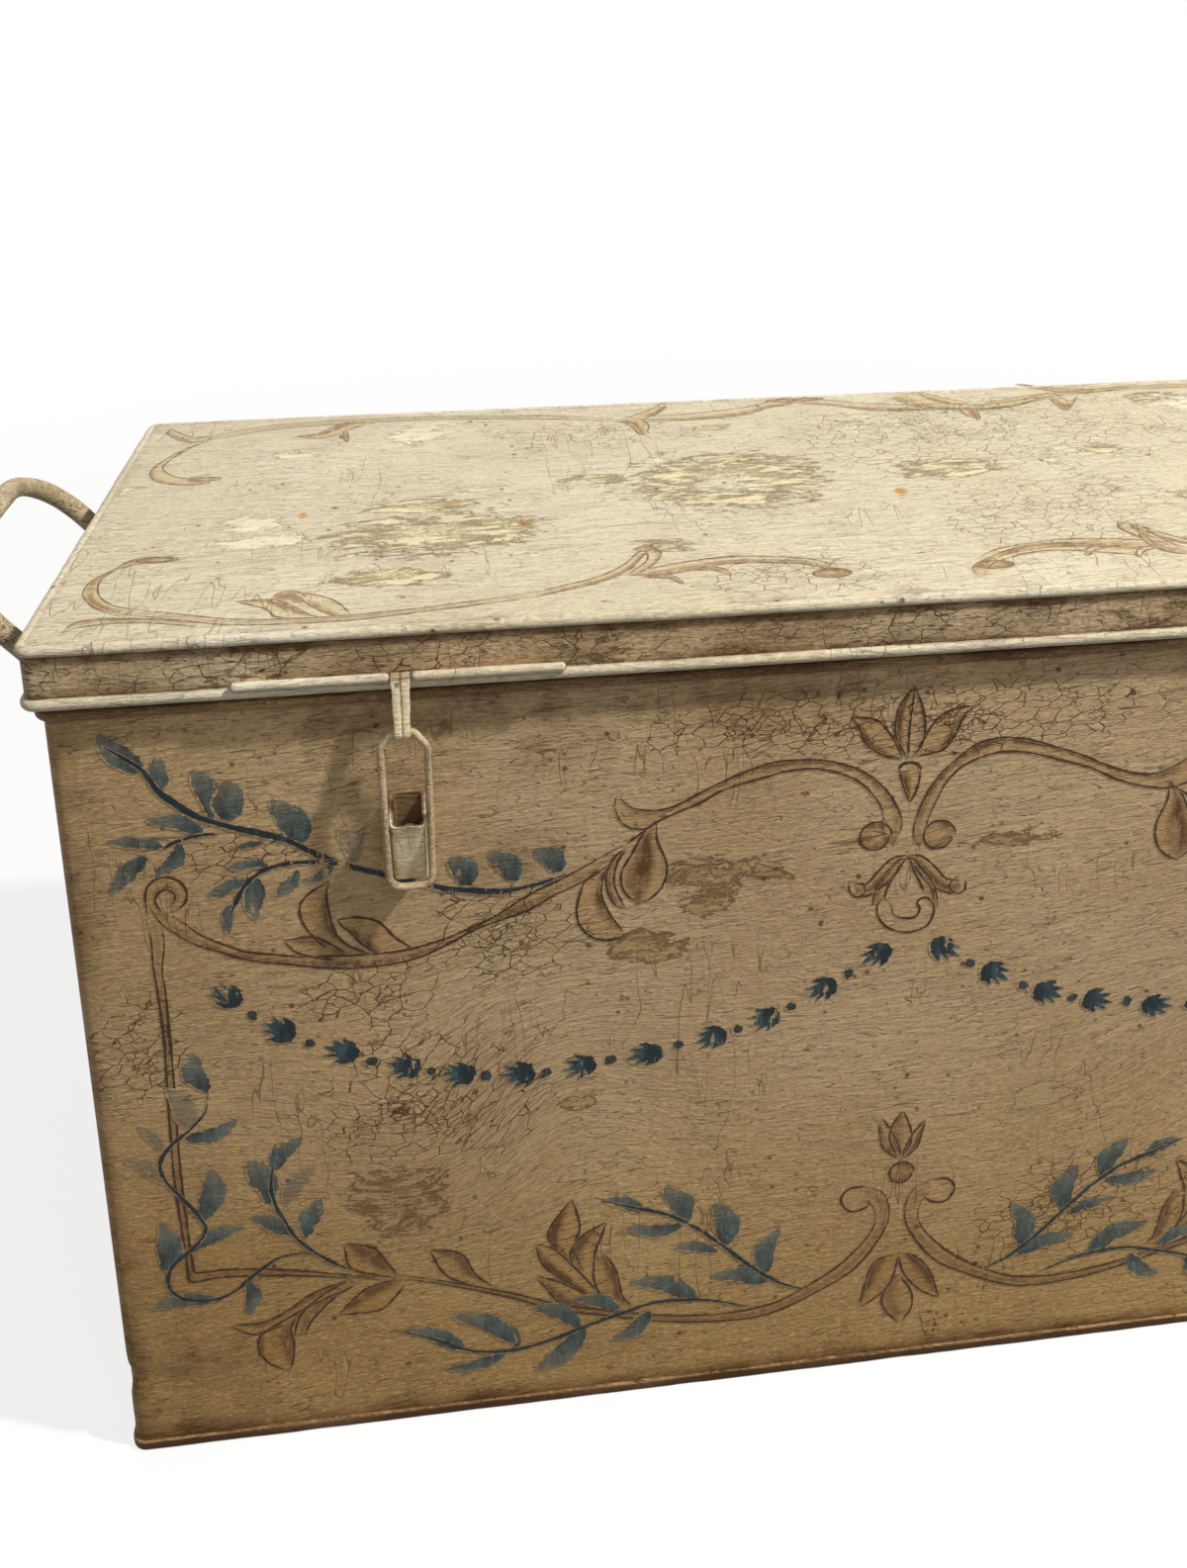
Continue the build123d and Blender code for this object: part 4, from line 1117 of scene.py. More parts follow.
def smooth(points, count=None):
    """Even places along a smooth curve through points."""
    points = np.asarray(points, float)
    if len(points) == 2:
        dense = points[0] + (points[1] - points[0]) * np.linspace(0, 1, STRAIGHT_STEPS)[:, None]
    else:
        ends = np.concatenate([[2 * points[0] - points[1]], points, [2 * points[-1] - points[-2]]])
        t = np.linspace(0, 1, CURVE_STEPS, endpoint=False)[:, None]
        dense = []
        for a, b, c, d in zip(ends, ends[1:], ends[2:], ends[3:]):
            square, cube = 2 * a - 5 * b + 4 * c - d, 3 * b - a - 3 * c + d
            dense.append(0.5 * (2 * b + (c - a) * t + square * t ** 2 + cube * t ** 3))
        dense = np.concatenate(dense + [points[-1:]])
    gone = distance_along(dense)
    at = np.linspace(0, gone[-1], count or max(4, int(gone[-1] / STROKE_STEP)))
    return np.stack([np.interp(at, gone, dense[:, k]) for k in range(dense.shape[1])], 1)


LIFTS = {                            # how far each pigment stands off its surface (mm)
    (FRONT, "wash"): 0.06, (FRONT, "line"): 0.12, (FRONT, "blue"): 0.18, (FRONT, "stem"): 0.24,
    (TOP, "wash"): 0.05, (TOP, "line"): 0.1,
}
STROKE_LIFT, STROKE_LIFTS = 0.0006, 60       # added for each stroke, so that crossing ones share no plane
TAPER = 0.18                         # share of a stroke's length over which its end narrows
LEAST_HALF = 0.1


class Ornament:
    """Thin strokes of one pigment on one surface, gathered into one mesh."""

    def __init__(self, surface, kind):
        self.surface, self.kind, self.lift = surface, kind, LIFTS[surface, kind]
        self.places, self.faces, self.fields = [], [], {"from_edge": [], "shade": [], "strength": []}
        self.count = 0

    def add(self, left, right, shade, strength, across, mirror=True, round_spot=False):
        """Fills between two edges of as many places, or inside a rim; shade(t, v) runs along and across."""
        n = len(left)
        v = np.linspace(0, 1, across)
        flat = left[:, None] * (1 - v[None, :, None]) + right[:, None] * v[None, :, None]
        wide = np.linalg.norm(right - left, axis=1)[:, None]
        gone = distance_along((left + right) / 2)
        ends = np.minimum(gone, gone[-1] - gone)[:, None]
        edge = v[None] * wide if round_spot else np.minimum(np.minimum(v, 1 - v)[None] * wide, ends + 0.15)
        t = np.repeat(np.linspace(0, 1, n)[:, None], across, 1)
        tone = shade(t, np.repeat(v[None], n, 0))
        lift = self.lift + STROKE_LIFT * (self.count % STROKE_LIFTS)
        for sign in ((1, -1) if mirror else (1,)):
            spots = flat.reshape(-1, 2) * [sign, 1]
            first = sum(len(p) for p in self.places)
            if self.surface == FRONT:
                out = BODY_Y + front_relief(spots[:, 0], spots[:, 1]) + lift
                spots = np.stack([spots[:, 0], -out, spots[:, 1]], 1)
                facing = np.cross(spots[1] - spots[0], spots[across] - spots[0])[1] < 0
            else:
                up = TOP_FACE + top_relief(spots[:, 0], spots[:, 1]) + lift
                spots = np.stack([spots[:, 0], spots[:, 1], up], 1)
                facing = np.cross(spots[1] - spots[0], spots[across] - spots[0])[2] > 0
            self.places.append(spots)
            self.faces += grid_faces(n, across, first, flip=not facing)
            self.fields["from_edge"].append(edge.ravel())
            self.fields["shade"].append(tone.ravel())
            self.fields["strength"].append(np.broadcast_to(strength, (n, across)).ravel())
        self.count += 1

    def stroke(self, points, wide, ends=(0.3, 0.3), shade=0.5, strength=1.0, mirror=True):
        """Brush line through places, narrowing towards its ends."""
        line = smooth(points)
        along = np.gradient(line, axis=0)
        along /= np.linalg.norm(along, axis=1)[:, None] + 1e-9
        side = np.stack([-along[:, 1], along[:, 0]], 1)
        t = np.linspace(0, 1, len(line))
        taper = np.minimum(ends[0] + t / TAPER, np.minimum(ends[1] + (1 - t) / TAPER, 1))
        half = (wide / 2 * taper * (1 + 0.12 * np.sin(t * 40)))[:, None]
        self.add(line - side * half, line + side * half, lambda t, v: 0 * t + shade, strength, 3, mirror)

    def leaf(self, base, tip, ratio, bend, strength):
        """Brushed leaf, darkest at its foot and along one side, thin and pale at its blunt tip."""
        run = tip - base
        length = np.linalg.norm(run)
        side = np.array([-run[1], run[0]]) / length
        t = np.linspace(0, 1, max(11, int(length / STROKE_STEP)))
        spine = base + run * t[:, None] + side * (bend * length * np.sin(math.pi * t))[:, None]
        body = np.sin(math.pi * t ** rng.uniform(0.75, 1.05)) ** 0.62
        sway = 0.1 * np.sin(t * rng.uniform(4, 9) + rng.uniform(0, 6))
        half = ratio * rng.uniform(0.46, 0.54) * length * body
        left = spine - side * np.maximum(half * (1 + sway), LEAST_HALF)[:, None]
        right = spine + side * np.maximum(half * (1 - sway), LEAST_HALF)[:, None]
        dark = 1 if bend > 0 else 0
        fading = strength * (1 - 0.3 * t[:, None] ** 2)
        self.add(left, right, lambda t, v: np.clip(0.15 + 0.5 * t + 0.5 * np.abs(v - 1 + dark), 0, 1),
                 fading, 9)

    def piece(self, name, body, slot):
        places = np.concatenate(self.places)
        fields = {k: np.concatenate(v) for k, v in self.fields.items()}
        fields.update(paint_fields(places, self.surface))
        settle(mesh(name, places, self.faces, fields, (ORNAMENT_LOOKS[self.surface, self.kind],)), body, slot)


# the tables below hold pixels of the photograph as x, y, x, y, ...

# stems of the blue sprigs, with their widths in mm
BLUE_STEMS = (
    ((103, 754, 142, 777, 159, 798, 176, 811, 200, 825, 229, 834, 252, 839, 289, 848, 317, 861, 344, 873, 378,
      881, 417, 891, 451, 898, 477, 900, 507, 901, 534, 896, 560, 888, 574, 882), 1.9),
    ((221, 842, 200, 844, 176, 851, 163, 859), 1.1),
    ((341, 869, 315, 870, 289, 872, 270, 877, 257, 885, 244, 900, 232, 927), 1.3),
    ((210, 1106, 208, 1123, 193, 1141, 173, 1158, 162, 1175, 166, 1192, 185, 1212, 202, 1230, 208, 1244, 196,
      1261, 176, 1278, 170, 1293, 176, 1307, 193, 1314, 219, 1313, 239, 1304, 259, 1287, 282, 1271, 308, 1266,
      328, 1270), 1.2),
    ((360, 1284, 340, 1277, 317, 1264, 299, 1250, 288, 1233, 279, 1218, 274, 1198, 276, 1178), 1.2),
    ((817, 1304, 787, 1296, 758, 1279, 735, 1262, 705, 1241, 676, 1227, 647, 1221, 608, 1213), 1.3),
    ((755, 1320, 711, 1313, 664, 1315, 632, 1325, 603, 1335, 559, 1353, 526, 1363, 497, 1366, 469, 1363, 440,
      1353, 397, 1343), 1.3),
)
# leaves: base x, y, tip x, y, width over length, bend
BLUE_LEAVES = (
    (146, 780, 98, 741, 0.42, -0.08), (162, 800, 156, 763, 0.5, 0.05), (215, 829, 194, 776, 0.46, 0.1),
    (232, 830, 229, 788, 0.72, 0.02), (306, 853, 272, 808, 0.5, 0.14), (362, 871, 342, 836, 0.6, 0.1),
    (476, 896, 455, 864, 0.66, 0.08), (524, 890, 494, 860, 0.55, 0.08), (570, 880, 540, 857, 0.62, 0.08),
    (208, 843, 146, 829, 0.3, 0.1), (168, 856, 106, 852, 0.28, 0.06), (150, 866, 112, 905, 0.36, 0.08),
    (184, 852, 154, 887, 0.4, -0.12), (270, 851, 233, 858, 0.26, 0.06), (275, 874, 226, 878, 0.3, 0.08),
    (251, 889, 209, 909, 0.34, 0.08), (238, 910, 231, 945, 0.36, 0.1), (260, 886, 259, 930, 0.44, 0.06),
    (302, 876, 278, 905, 0.42, -0.12), (341, 873, 303, 891, 0.3, -0.08), (210, 1105, 194, 1064, 0.46, -0.1),
    (192, 1141, 167, 1099, 0.42, 0.1), (186, 1152, 243, 1129, 0.32, 0.12), (163, 1164, 139, 1138, 0.36, 0.08),
    (167, 1198, 124, 1172, 0.34, 0.1), (206, 1234, 213, 1181, 0.44, 0.1), (195, 1264, 248, 1240, 0.34, -0.12),
    (169, 1285, 161, 1235, 0.44, 0.12), (226, 1312, 152, 1323, 0.24, 0.06),
    (253, 1294, 251, 1331, 0.4, -0.08), (276, 1182, 306, 1149, 0.44, -0.1), (274, 1216, 250, 1172, 0.46, 0.1),
    (288, 1219, 320, 1177, 0.36, -0.1), (294, 1248, 253, 1229, 0.4, 0.1), (310, 1252, 328, 1209, 0.42, -0.1),
    (652, 1223, 607, 1213, 0.34, 0.08), (696, 1234, 670, 1199, 0.46, 0.1), (691, 1238, 633, 1241, 0.3, -0.08),
    (735, 1259, 723, 1214, 0.46, 0.1), (727, 1264, 678, 1260, 0.28, 0.06), (773, 1287, 788, 1240, 0.4, -0.12),
    (779, 1296, 717, 1289, 0.3, 0.08), (705, 1314, 636, 1294, 0.3, 0.12), (627, 1322, 578, 1311, 0.32, 0.08),
    (589, 1340, 537, 1320, 0.34, 0.1), (658, 1324, 618, 1354, 0.4, -0.12), (592, 1339, 541, 1385, 0.36, -0.1),
    (526, 1361, 499, 1337, 0.42, 0.1), (523, 1357, 456, 1329, 0.28, 0.1), (469, 1363, 410, 1343, 0.3, 0.1),
    (513, 1366, 448, 1383, 0.26, -0.1),
)
FAINT_LEAVES = {(163, 1164), (167, 1198), (288, 1219), (362, 871), (192, 1141)}
BUDS = (
    228, 1005, 282, 1040, 345, 1062, 408, 1078, 463, 1085, 524, 1085, 585, 1078, 652, 1065, 718, 1048, 772,
    1030, 830, 1000, 885, 965,
)
BUD_DOTS = (
    256, 1026, 313, 1054, 375, 1073, 436, 1083, 492, 1087, 552, 1084, 617, 1071, 686, 1055, 745, 1040, 800,
    1017, 858, 984,
)

# brown scrollwork: both edges of each form, the side that is shaded darker (0 to 1 across), and its strength
BROWN_FORMS = (
    # ribbon from the left volute to the beak leaf
    ((150, 914, 158, 927, 168, 937, 195, 953, 221, 961, 252, 970, 289, 974, 325, 978, 367, 978, 417, 970, 456,
      953, 480, 940, 534, 920, 560, 905, 587, 892, 609, 875),
     (168, 924, 181, 929, 202, 944, 226, 954, 247, 961, 273, 964, 307, 967, 345, 966, 384, 964, 417, 959, 456,
      947, 500, 927, 534, 905, 576, 884, 603, 869, 630, 854), 0.3, 0.75),
    # crescent leaves over the ribbon
    ((333, 890, 312, 903, 303, 916, 306, 932, 317, 947, 330, 958),
     (333, 890, 330, 903, 332, 919, 338, 940, 351, 955, 378, 966), 1.0, 1.0),
    ((341, 929, 362, 927, 383, 932, 399, 947, 417, 959),
     (341, 929, 346, 936, 354, 942, 367, 955, 383, 964), 1.0, 1.0),
    ((287, 950, 317, 947, 336, 955, 350, 964), (287, 950, 299, 962, 320, 968, 341, 970), 0.2, 0.7),
    # left volute, that the ribbon rolls up into
    ((149, 925, 147, 903, 154, 891, 168, 886, 182, 891, 189, 903, 185, 915, 174, 921),
     (163, 921, 157, 912, 159, 904, 166, 899, 173, 900, 177, 905, 176, 911, 172, 914), 0.9, 0.7),
    # hanging acanthus
    ((618, 872, 600, 885, 590, 893, 583, 920, 588, 938, 606, 950, 635, 947),
     (618, 872, 612, 880, 609, 890, 608, 905, 614, 920, 622, 932, 632, 944), 1.0, 1.0),
    ((635, 856, 620, 868, 613, 885, 614, 900, 622, 915, 632, 918),
     (635, 856, 625, 870, 621, 885, 622, 898, 628, 910, 632, 918), 0.3, 0.8),
    ((664, 828, 650, 843, 639, 863, 628, 883, 631, 901, 645, 914),
     (664, 828, 664, 848, 674, 874, 670, 895, 658, 908, 645, 914), 0.4, 1.0),
    # frame down the left side and along the bottom
    ((148, 927, 153, 950, 155, 976, 159, 1000, 166, 1052, 169, 1100, 172, 1141, 177, 1198, 185, 1250, 190,
      1285, 192, 1295, 202, 1295, 225, 1291, 282, 1289, 354, 1291, 397, 1294),
     (163, 934, 166, 955, 164, 981, 167, 1000, 172, 1052, 176, 1100, 180, 1158, 184, 1198, 190, 1245, 195,
      1278, 197, 1286, 206, 1286, 239, 1283, 297, 1284, 360, 1289, 400, 1291), 0.5, 0.5),
    # leaves of the lower scroll
    ((348, 1257, 354, 1281, 378, 1288, 403, 1292), (348, 1257, 377, 1261, 391, 1276, 403, 1290), 0.7, 0.9),
    ((342, 1329, 368, 1304, 390, 1296, 403, 1293), (342, 1329, 383, 1324, 400, 1310, 411, 1296), 0.2, 0.9),
    ((434, 1263, 449, 1287, 470, 1297, 497, 1302), (434, 1263, 466, 1267, 480, 1287, 497, 1299), 0.8, 0.8),
    ((233, 1340, 265, 1337, 288, 1327, 317, 1307, 354, 1293),
     (233, 1340, 248, 1347, 265, 1347, 310, 1322, 360, 1298), 0.2, 0.8),
    ((288, 1339, 265, 1349, 262, 1365, 274, 1379, 294, 1386),
     (300, 1330, 294, 1344, 297, 1356, 297, 1370, 294, 1386), 0.9, 0.8),
    ((360, 1298, 340, 1310, 317, 1333, 308, 1350), (352, 1294, 325, 1310, 304, 1330, 297, 1353), 0.4, 0.6),
    # big tulip leaf
    ((578, 1212, 560, 1235, 554, 1250, 563, 1262, 580, 1280),
     (578, 1212, 583, 1226, 586, 1242, 580, 1262, 590, 1284), 0.1, 1.0),
    ((613, 1235, 590, 1248, 577, 1265, 580, 1284), (613, 1235, 607, 1252, 601, 1268, 600, 1296), 0.2, 0.9),
    ((541, 1257, 550, 1279, 570, 1293, 600, 1310), (541, 1257, 560, 1262, 580, 1280, 612, 1312), 0.1, 1.0),
    ((542, 1290, 556, 1306, 570, 1319, 600, 1322), (542, 1290, 562, 1294, 590, 1306, 615, 1320), 0.2, 0.9),
    ((601, 1271, 600, 1290, 606, 1306, 620, 1320), (612, 1267, 623, 1285, 629, 1309, 638, 1318), 0.8, 0.9),
    # long lower stem and its volute
    ((400, 1291, 454, 1299, 512, 1310, 560, 1322, 617, 1329, 676, 1335, 726, 1335, 764, 1331, 793, 1322, 831,
      1303, 864, 1282, 890, 1250, 899, 1227, 893, 1206, 875, 1199),
     (403, 1288, 456, 1296, 514, 1306, 562, 1317, 618, 1324, 676, 1329, 726, 1328, 764, 1322, 790, 1314, 820,
      1298, 848, 1279, 872, 1256, 884, 1238, 884, 1222, 876, 1212), 0.4, 0.6),
)
# outlines only, with their widths in mm
BROWN_LINES = (
    ((633, 853, 654, 838, 665, 830), 0.6),
    ((875, 1199, 858, 1202, 850, 1213, 858, 1224, 872, 1222, 881, 1215), 0.7),
)
MIDDLE_LINES = (
    ((900, 911, 892, 909, 887, 916, 888, 927, 898, 938, 917, 942, 936, 936, 944, 922, 942, 911, 934, 907, 927,
      912, 930, 918, 926, 926, 915, 928, 904, 925, 902, 917, 900, 911), 1.1),
    ((858, 893, 860, 903, 868, 907, 875, 901, 872, 893, 865, 894), 1.0),
    ((976, 889, 975, 899, 967, 903, 960, 897, 963, 889, 970, 890), 1.0),
    ((909, 779, 911, 773, 920, 770, 929, 773, 931, 779), 1.3),
)
# small volutes at the ends of the arches: centre, radius in mm
VOLUTES = (((885, 846), 6.2), ((949, 844), 6.2))

# forms on the middle line, as in BROWN_FORMS
MIDDLE_FORMS = (
    # beak leaf and left arch
    ((627, 806, 634, 812, 641, 817, 662, 819, 684, 814, 710, 800, 737, 787, 769, 774, 792, 769, 825, 768, 851,
      772, 876, 782, 897, 800, 910, 823, 911, 838, 902, 856),
     (623, 805, 622, 817, 630, 833, 651, 838, 665, 830, 689, 819, 710, 810, 732, 798, 775, 785, 795, 779, 825,
      777, 851, 782, 871, 792, 884, 805, 892, 818, 894, 831, 893, 838), 0.15, 0.8),
    # right arch
    ((931, 858, 924, 845, 926, 829, 936, 804, 951, 782, 968, 766, 989, 751, 1014, 745, 1040, 747, 1069, 755,
      1094, 763, 1116, 772, 1141, 780, 1166, 782, 1187, 774, 1200, 766, 1207, 757),
     (936, 842, 938, 829, 947, 808, 959, 787, 976, 772, 997, 763, 1018, 759, 1044, 761, 1073, 768, 1103, 776,
      1128, 787, 1154, 794, 1179, 796, 1200, 790, 1211, 775, 1208, 757), 0.15, 0.9),
    ((925, 693, 910, 713, 905, 734, 907, 749, 918, 767), (925, 693, 922, 716, 919, 740, 918, 767), 0.2, 1.0),
    ((925, 693, 922, 716, 919, 740, 918, 767), (925, 693, 933, 716, 935, 731, 933, 749, 922, 766), 0.8, 0.7),
    ((861, 725, 869, 736, 876, 752, 892, 763, 912, 767),
     (861, 725, 884, 727, 897, 738, 906, 752, 912, 766), 0.0, 1.0),
    ((989, 713, 966, 716, 948, 726, 934, 746, 926, 764),
     (989, 713, 976, 721, 966, 741, 953, 757, 928, 764), 1.0, 1.0),
    ((910, 778, 912, 790, 916, 802, 920, 811), (930, 778, 929, 790, 925, 802, 920, 811), 0.2, 1.0),
    ((917, 865, 902, 868, 887, 882, 876, 894, 864, 892),
     (917, 865, 908, 878, 896, 893, 879, 905, 866, 906), 0.6, 0.9),
    ((917, 865, 933, 866, 948, 879, 958, 889, 970, 885),
     (917, 865, 926, 878, 940, 894, 958, 902, 972, 902), 0.6, 0.9),
    ((914, 866, 898, 880, 886, 898, 882, 916), (917, 866, 908, 880, 898, 896, 893, 912), 0.2, 1.0),
    ((919, 866, 924, 880, 930, 892, 935, 902), (921, 866, 934, 880, 945, 897, 948, 917), 0.8, 1.0),
    ((889, 1136, 890, 1150, 894, 1162, 909, 1171), (892, 1130, 900, 1142, 908, 1156, 911, 1171), 0.1, 0.9),
    ((913, 1122, 901, 1140, 900, 1155, 908, 1170), (913, 1122, 921, 1142, 920, 1156, 912, 1170), 0.3, 0.8),
    ((936, 1131, 924, 1144, 916, 1158, 911, 1171), (936, 1131, 931, 1147, 926, 1160, 913, 1171), 0.8, 0.9),
    ((868, 1323, 875, 1297, 884, 1276, 903, 1268), (868, 1323, 890, 1308, 903, 1290, 908, 1268), 0.1, 1.0),
    ((949, 1312, 930, 1304, 914, 1288, 908, 1268), (949, 1312, 940, 1285, 925, 1270, 910, 1267), 0.8, 1.0),
    ((908, 1288, 893, 1308, 893, 1322, 908, 1337), (908, 1288, 921, 1306, 921, 1322, 910, 1337), 0.3, 0.6),
)
BALL = ((911, 1185), 5.2)            # over the lower scroll

FORM_STEP = 1.5
FRONT_OUTLINE, MIDDLE_OUTLINE, TOP_OUTLINE = 1.25, 1.2, 0.95
BROWN_EXTRA, STEM_SCALE, STEM_EXTRA = 0.5, 1.35, 0.3        # what paint adds to the widths in the tables
OUTLINE_STRENGTH = 0.95
LEAF_STRENGTH, FAINT_STRENGTH = 0.95, 0.5


def turned_round(count):
    """Directions once round."""
    turn = np.linspace(0, 2 * math.pi, count)
    return np.stack([np.cos(turn), np.sin(turn)], 1)


def draw_form(wash, line, form, wide, mirror=True):
    """Shaded form between its two edges, with a line along each."""
    *edges, dark_at, strength = form
    edges = [flat_on(wash.surface, edge) for edge in edges]
    count = max(8, int(max(distance_along(edge)[-1] for edge in edges) / FORM_STEP))
    left, right = (smooth(edge, count) for edge in edges)

    def shade(t, v):
        from_dark = np.abs(v - dark_at)
        return np.clip(1.15 - from_dark * 2.9, 0, 1) * (0.4 + 0.6 * np.sin(math.pi * np.clip(t, 0.05, 0.95)))

    wash.add(left, right, shade, strength, 9, mirror)
    for edge in (left, right):
        line.stroke(edge, wide, strength=OUTLINE_STRENGTH, mirror=mirror)


def draw_volute(wash, line, centre, radius):
    ring = centre + turned_round(40) * radius * np.linspace(1.0, 0.84, 40)[:, None]
    line.stroke(ring, MIDDLE_OUTLINE, ends=(1.0, 0.5), strength=OUTLINE_STRENGTH, mirror=False)
    wash.add(ring, centre + (ring - centre) * 0.05,
             lambda t, v: np.clip(0.75 - 1.1 * v + 0.2 * np.sin(9 * t), 0, 1), 0.9, 7,
             mirror=False, round_spot=True)


rng = random.Random(5)
front_wash, front_line = Ornament(FRONT, "wash"), Ornament(FRONT, "line")
front_blue, front_stem = Ornament(FRONT, "blue"), Ornament(FRONT, "stem")
for form in BROWN_FORMS:
    draw_form(front_wash, front_line, form, FRONT_OUTLINE)
for points, wide in BROWN_LINES:
    front_line.stroke(flat_on(FRONT, points), wide + BROWN_EXTRA)
for points, wide in MIDDLE_LINES:
    front_line.stroke(flat_on(FRONT, points), wide, mirror=False)
for centre, radius in (*VOLUTES, BALL):
    draw_volute(front_wash, front_line, flat_on(FRONT, [centre])[0], radius)
for form in MIDDLE_FORMS:
    draw_form(front_wash, front_line, form, MIDDLE_OUTLINE, mirror=False)

for points, wide in BLUE_STEMS:
    front_stem.stroke(flat_on(FRONT, points), wide * STEM_SCALE + STEM_EXTRA, shade=0.0)
for *ends, ratio, bend in BLUE_LEAVES:
    base, tip = flat_on(FRONT, ends)
    faint = tuple(ends[:2]) in FAINT_LEAVES
    front_blue.leaf(base, tip, ratio, -bend, FAINT_STRENGTH if faint else LEAF_STRENGTH)


# garland bud about its head: along the tail, across it
BUD_RIM = (
    (-2.6, 0.0), (-2.2, 2.2), (-0.4, 4.0), (1.6, 4.6), (4.8, 5.4), (3.4, 3.0), (8.2, 3.4), (5.4, 1.6),
    (9.8, 0.3), (5.6, -1.2), (8.4, -3.1), (3.6, -3.0), (4.9, -5.0), (1.4, -4.4), (-0.6, -3.6), (-2.2, -2.0),
    (-2.6, 0.0),
)
BUD_MIDDLE = (0.8, 0.0)
BUD_SIZE = 1.14
BUD_HEAD = 4.0                       # how far a bud's head is ahead of its pixel (mm)
BUD_SHAKE = (0.92, 1.08)
BUD_SPLITS = 3
BUD_FADE = 9                         # how far back along its tail a bud is pale (mm)
DOT_R = (2.1, 2.6)


def draw_bud(head, tail_way):
    """Round dark head whose brush strokes part into pointed petals."""
    side = np.array([-tail_way[1], tail_way[0]])
    rim = []
    for (u, v), (u2, v2) in zip(BUD_RIM, BUD_RIM[1:]):
        u, v = (u * rng.uniform(*BUD_SHAKE), v * rng.uniform(*BUD_SHAKE)) if rim else (u, v)
        rim += [(u + (u2 - u) * k / BUD_SPLITS, v + (v2 - v) * k / BUD_SPLITS) for k in range(BUD_SPLITS)]
    rim = np.array(rim + [BUD_RIM[-1]])
    rim = head + BUD_SIZE * (rim[:, :1] * tail_way + rim[:, 1:] * side)
    middle = head + BUD_MIDDLE[0] * tail_way + BUD_MIDDLE[1] * side
    tail_share = np.clip(((rim - head) @ tail_way)[:, None] / BUD_FADE, 0, 1)
    front_blue.add(rim, middle + (rim - middle) * 0.02, lambda t, v: 0.05 + 0.7 * tail_share * (1 - v),
                   1.0, 6, round_spot=True)


bud_places = flat_on(FRONT, BUDS)
for i, place in enumerate(bud_places):
    ahead = unit(bud_places[min(i + 1, len(bud_places) - 1)] - bud_places[max(i - 1, 0)])
    draw_bud(place + ahead * BUD_HEAD, -ahead)
for place in flat_on(FRONT, BUD_DOTS):
    rim = place + turned_round(16) * rng.uniform(*DOT_R)
    front_blue.add(rim, place + (rim - place) * 0.03, lambda t, v: 0.1 + 0 * t, 0.95, 4, round_spot=True)

for ornament, name in ((front_wash, "front_scroll_wash"), (front_line, "front_scroll_lines"),
                       (front_blue, "front_blue_leaves"), (front_stem, "front_blue_stems")):
    ornament.piece(name, "trunk_body", "body_paint")

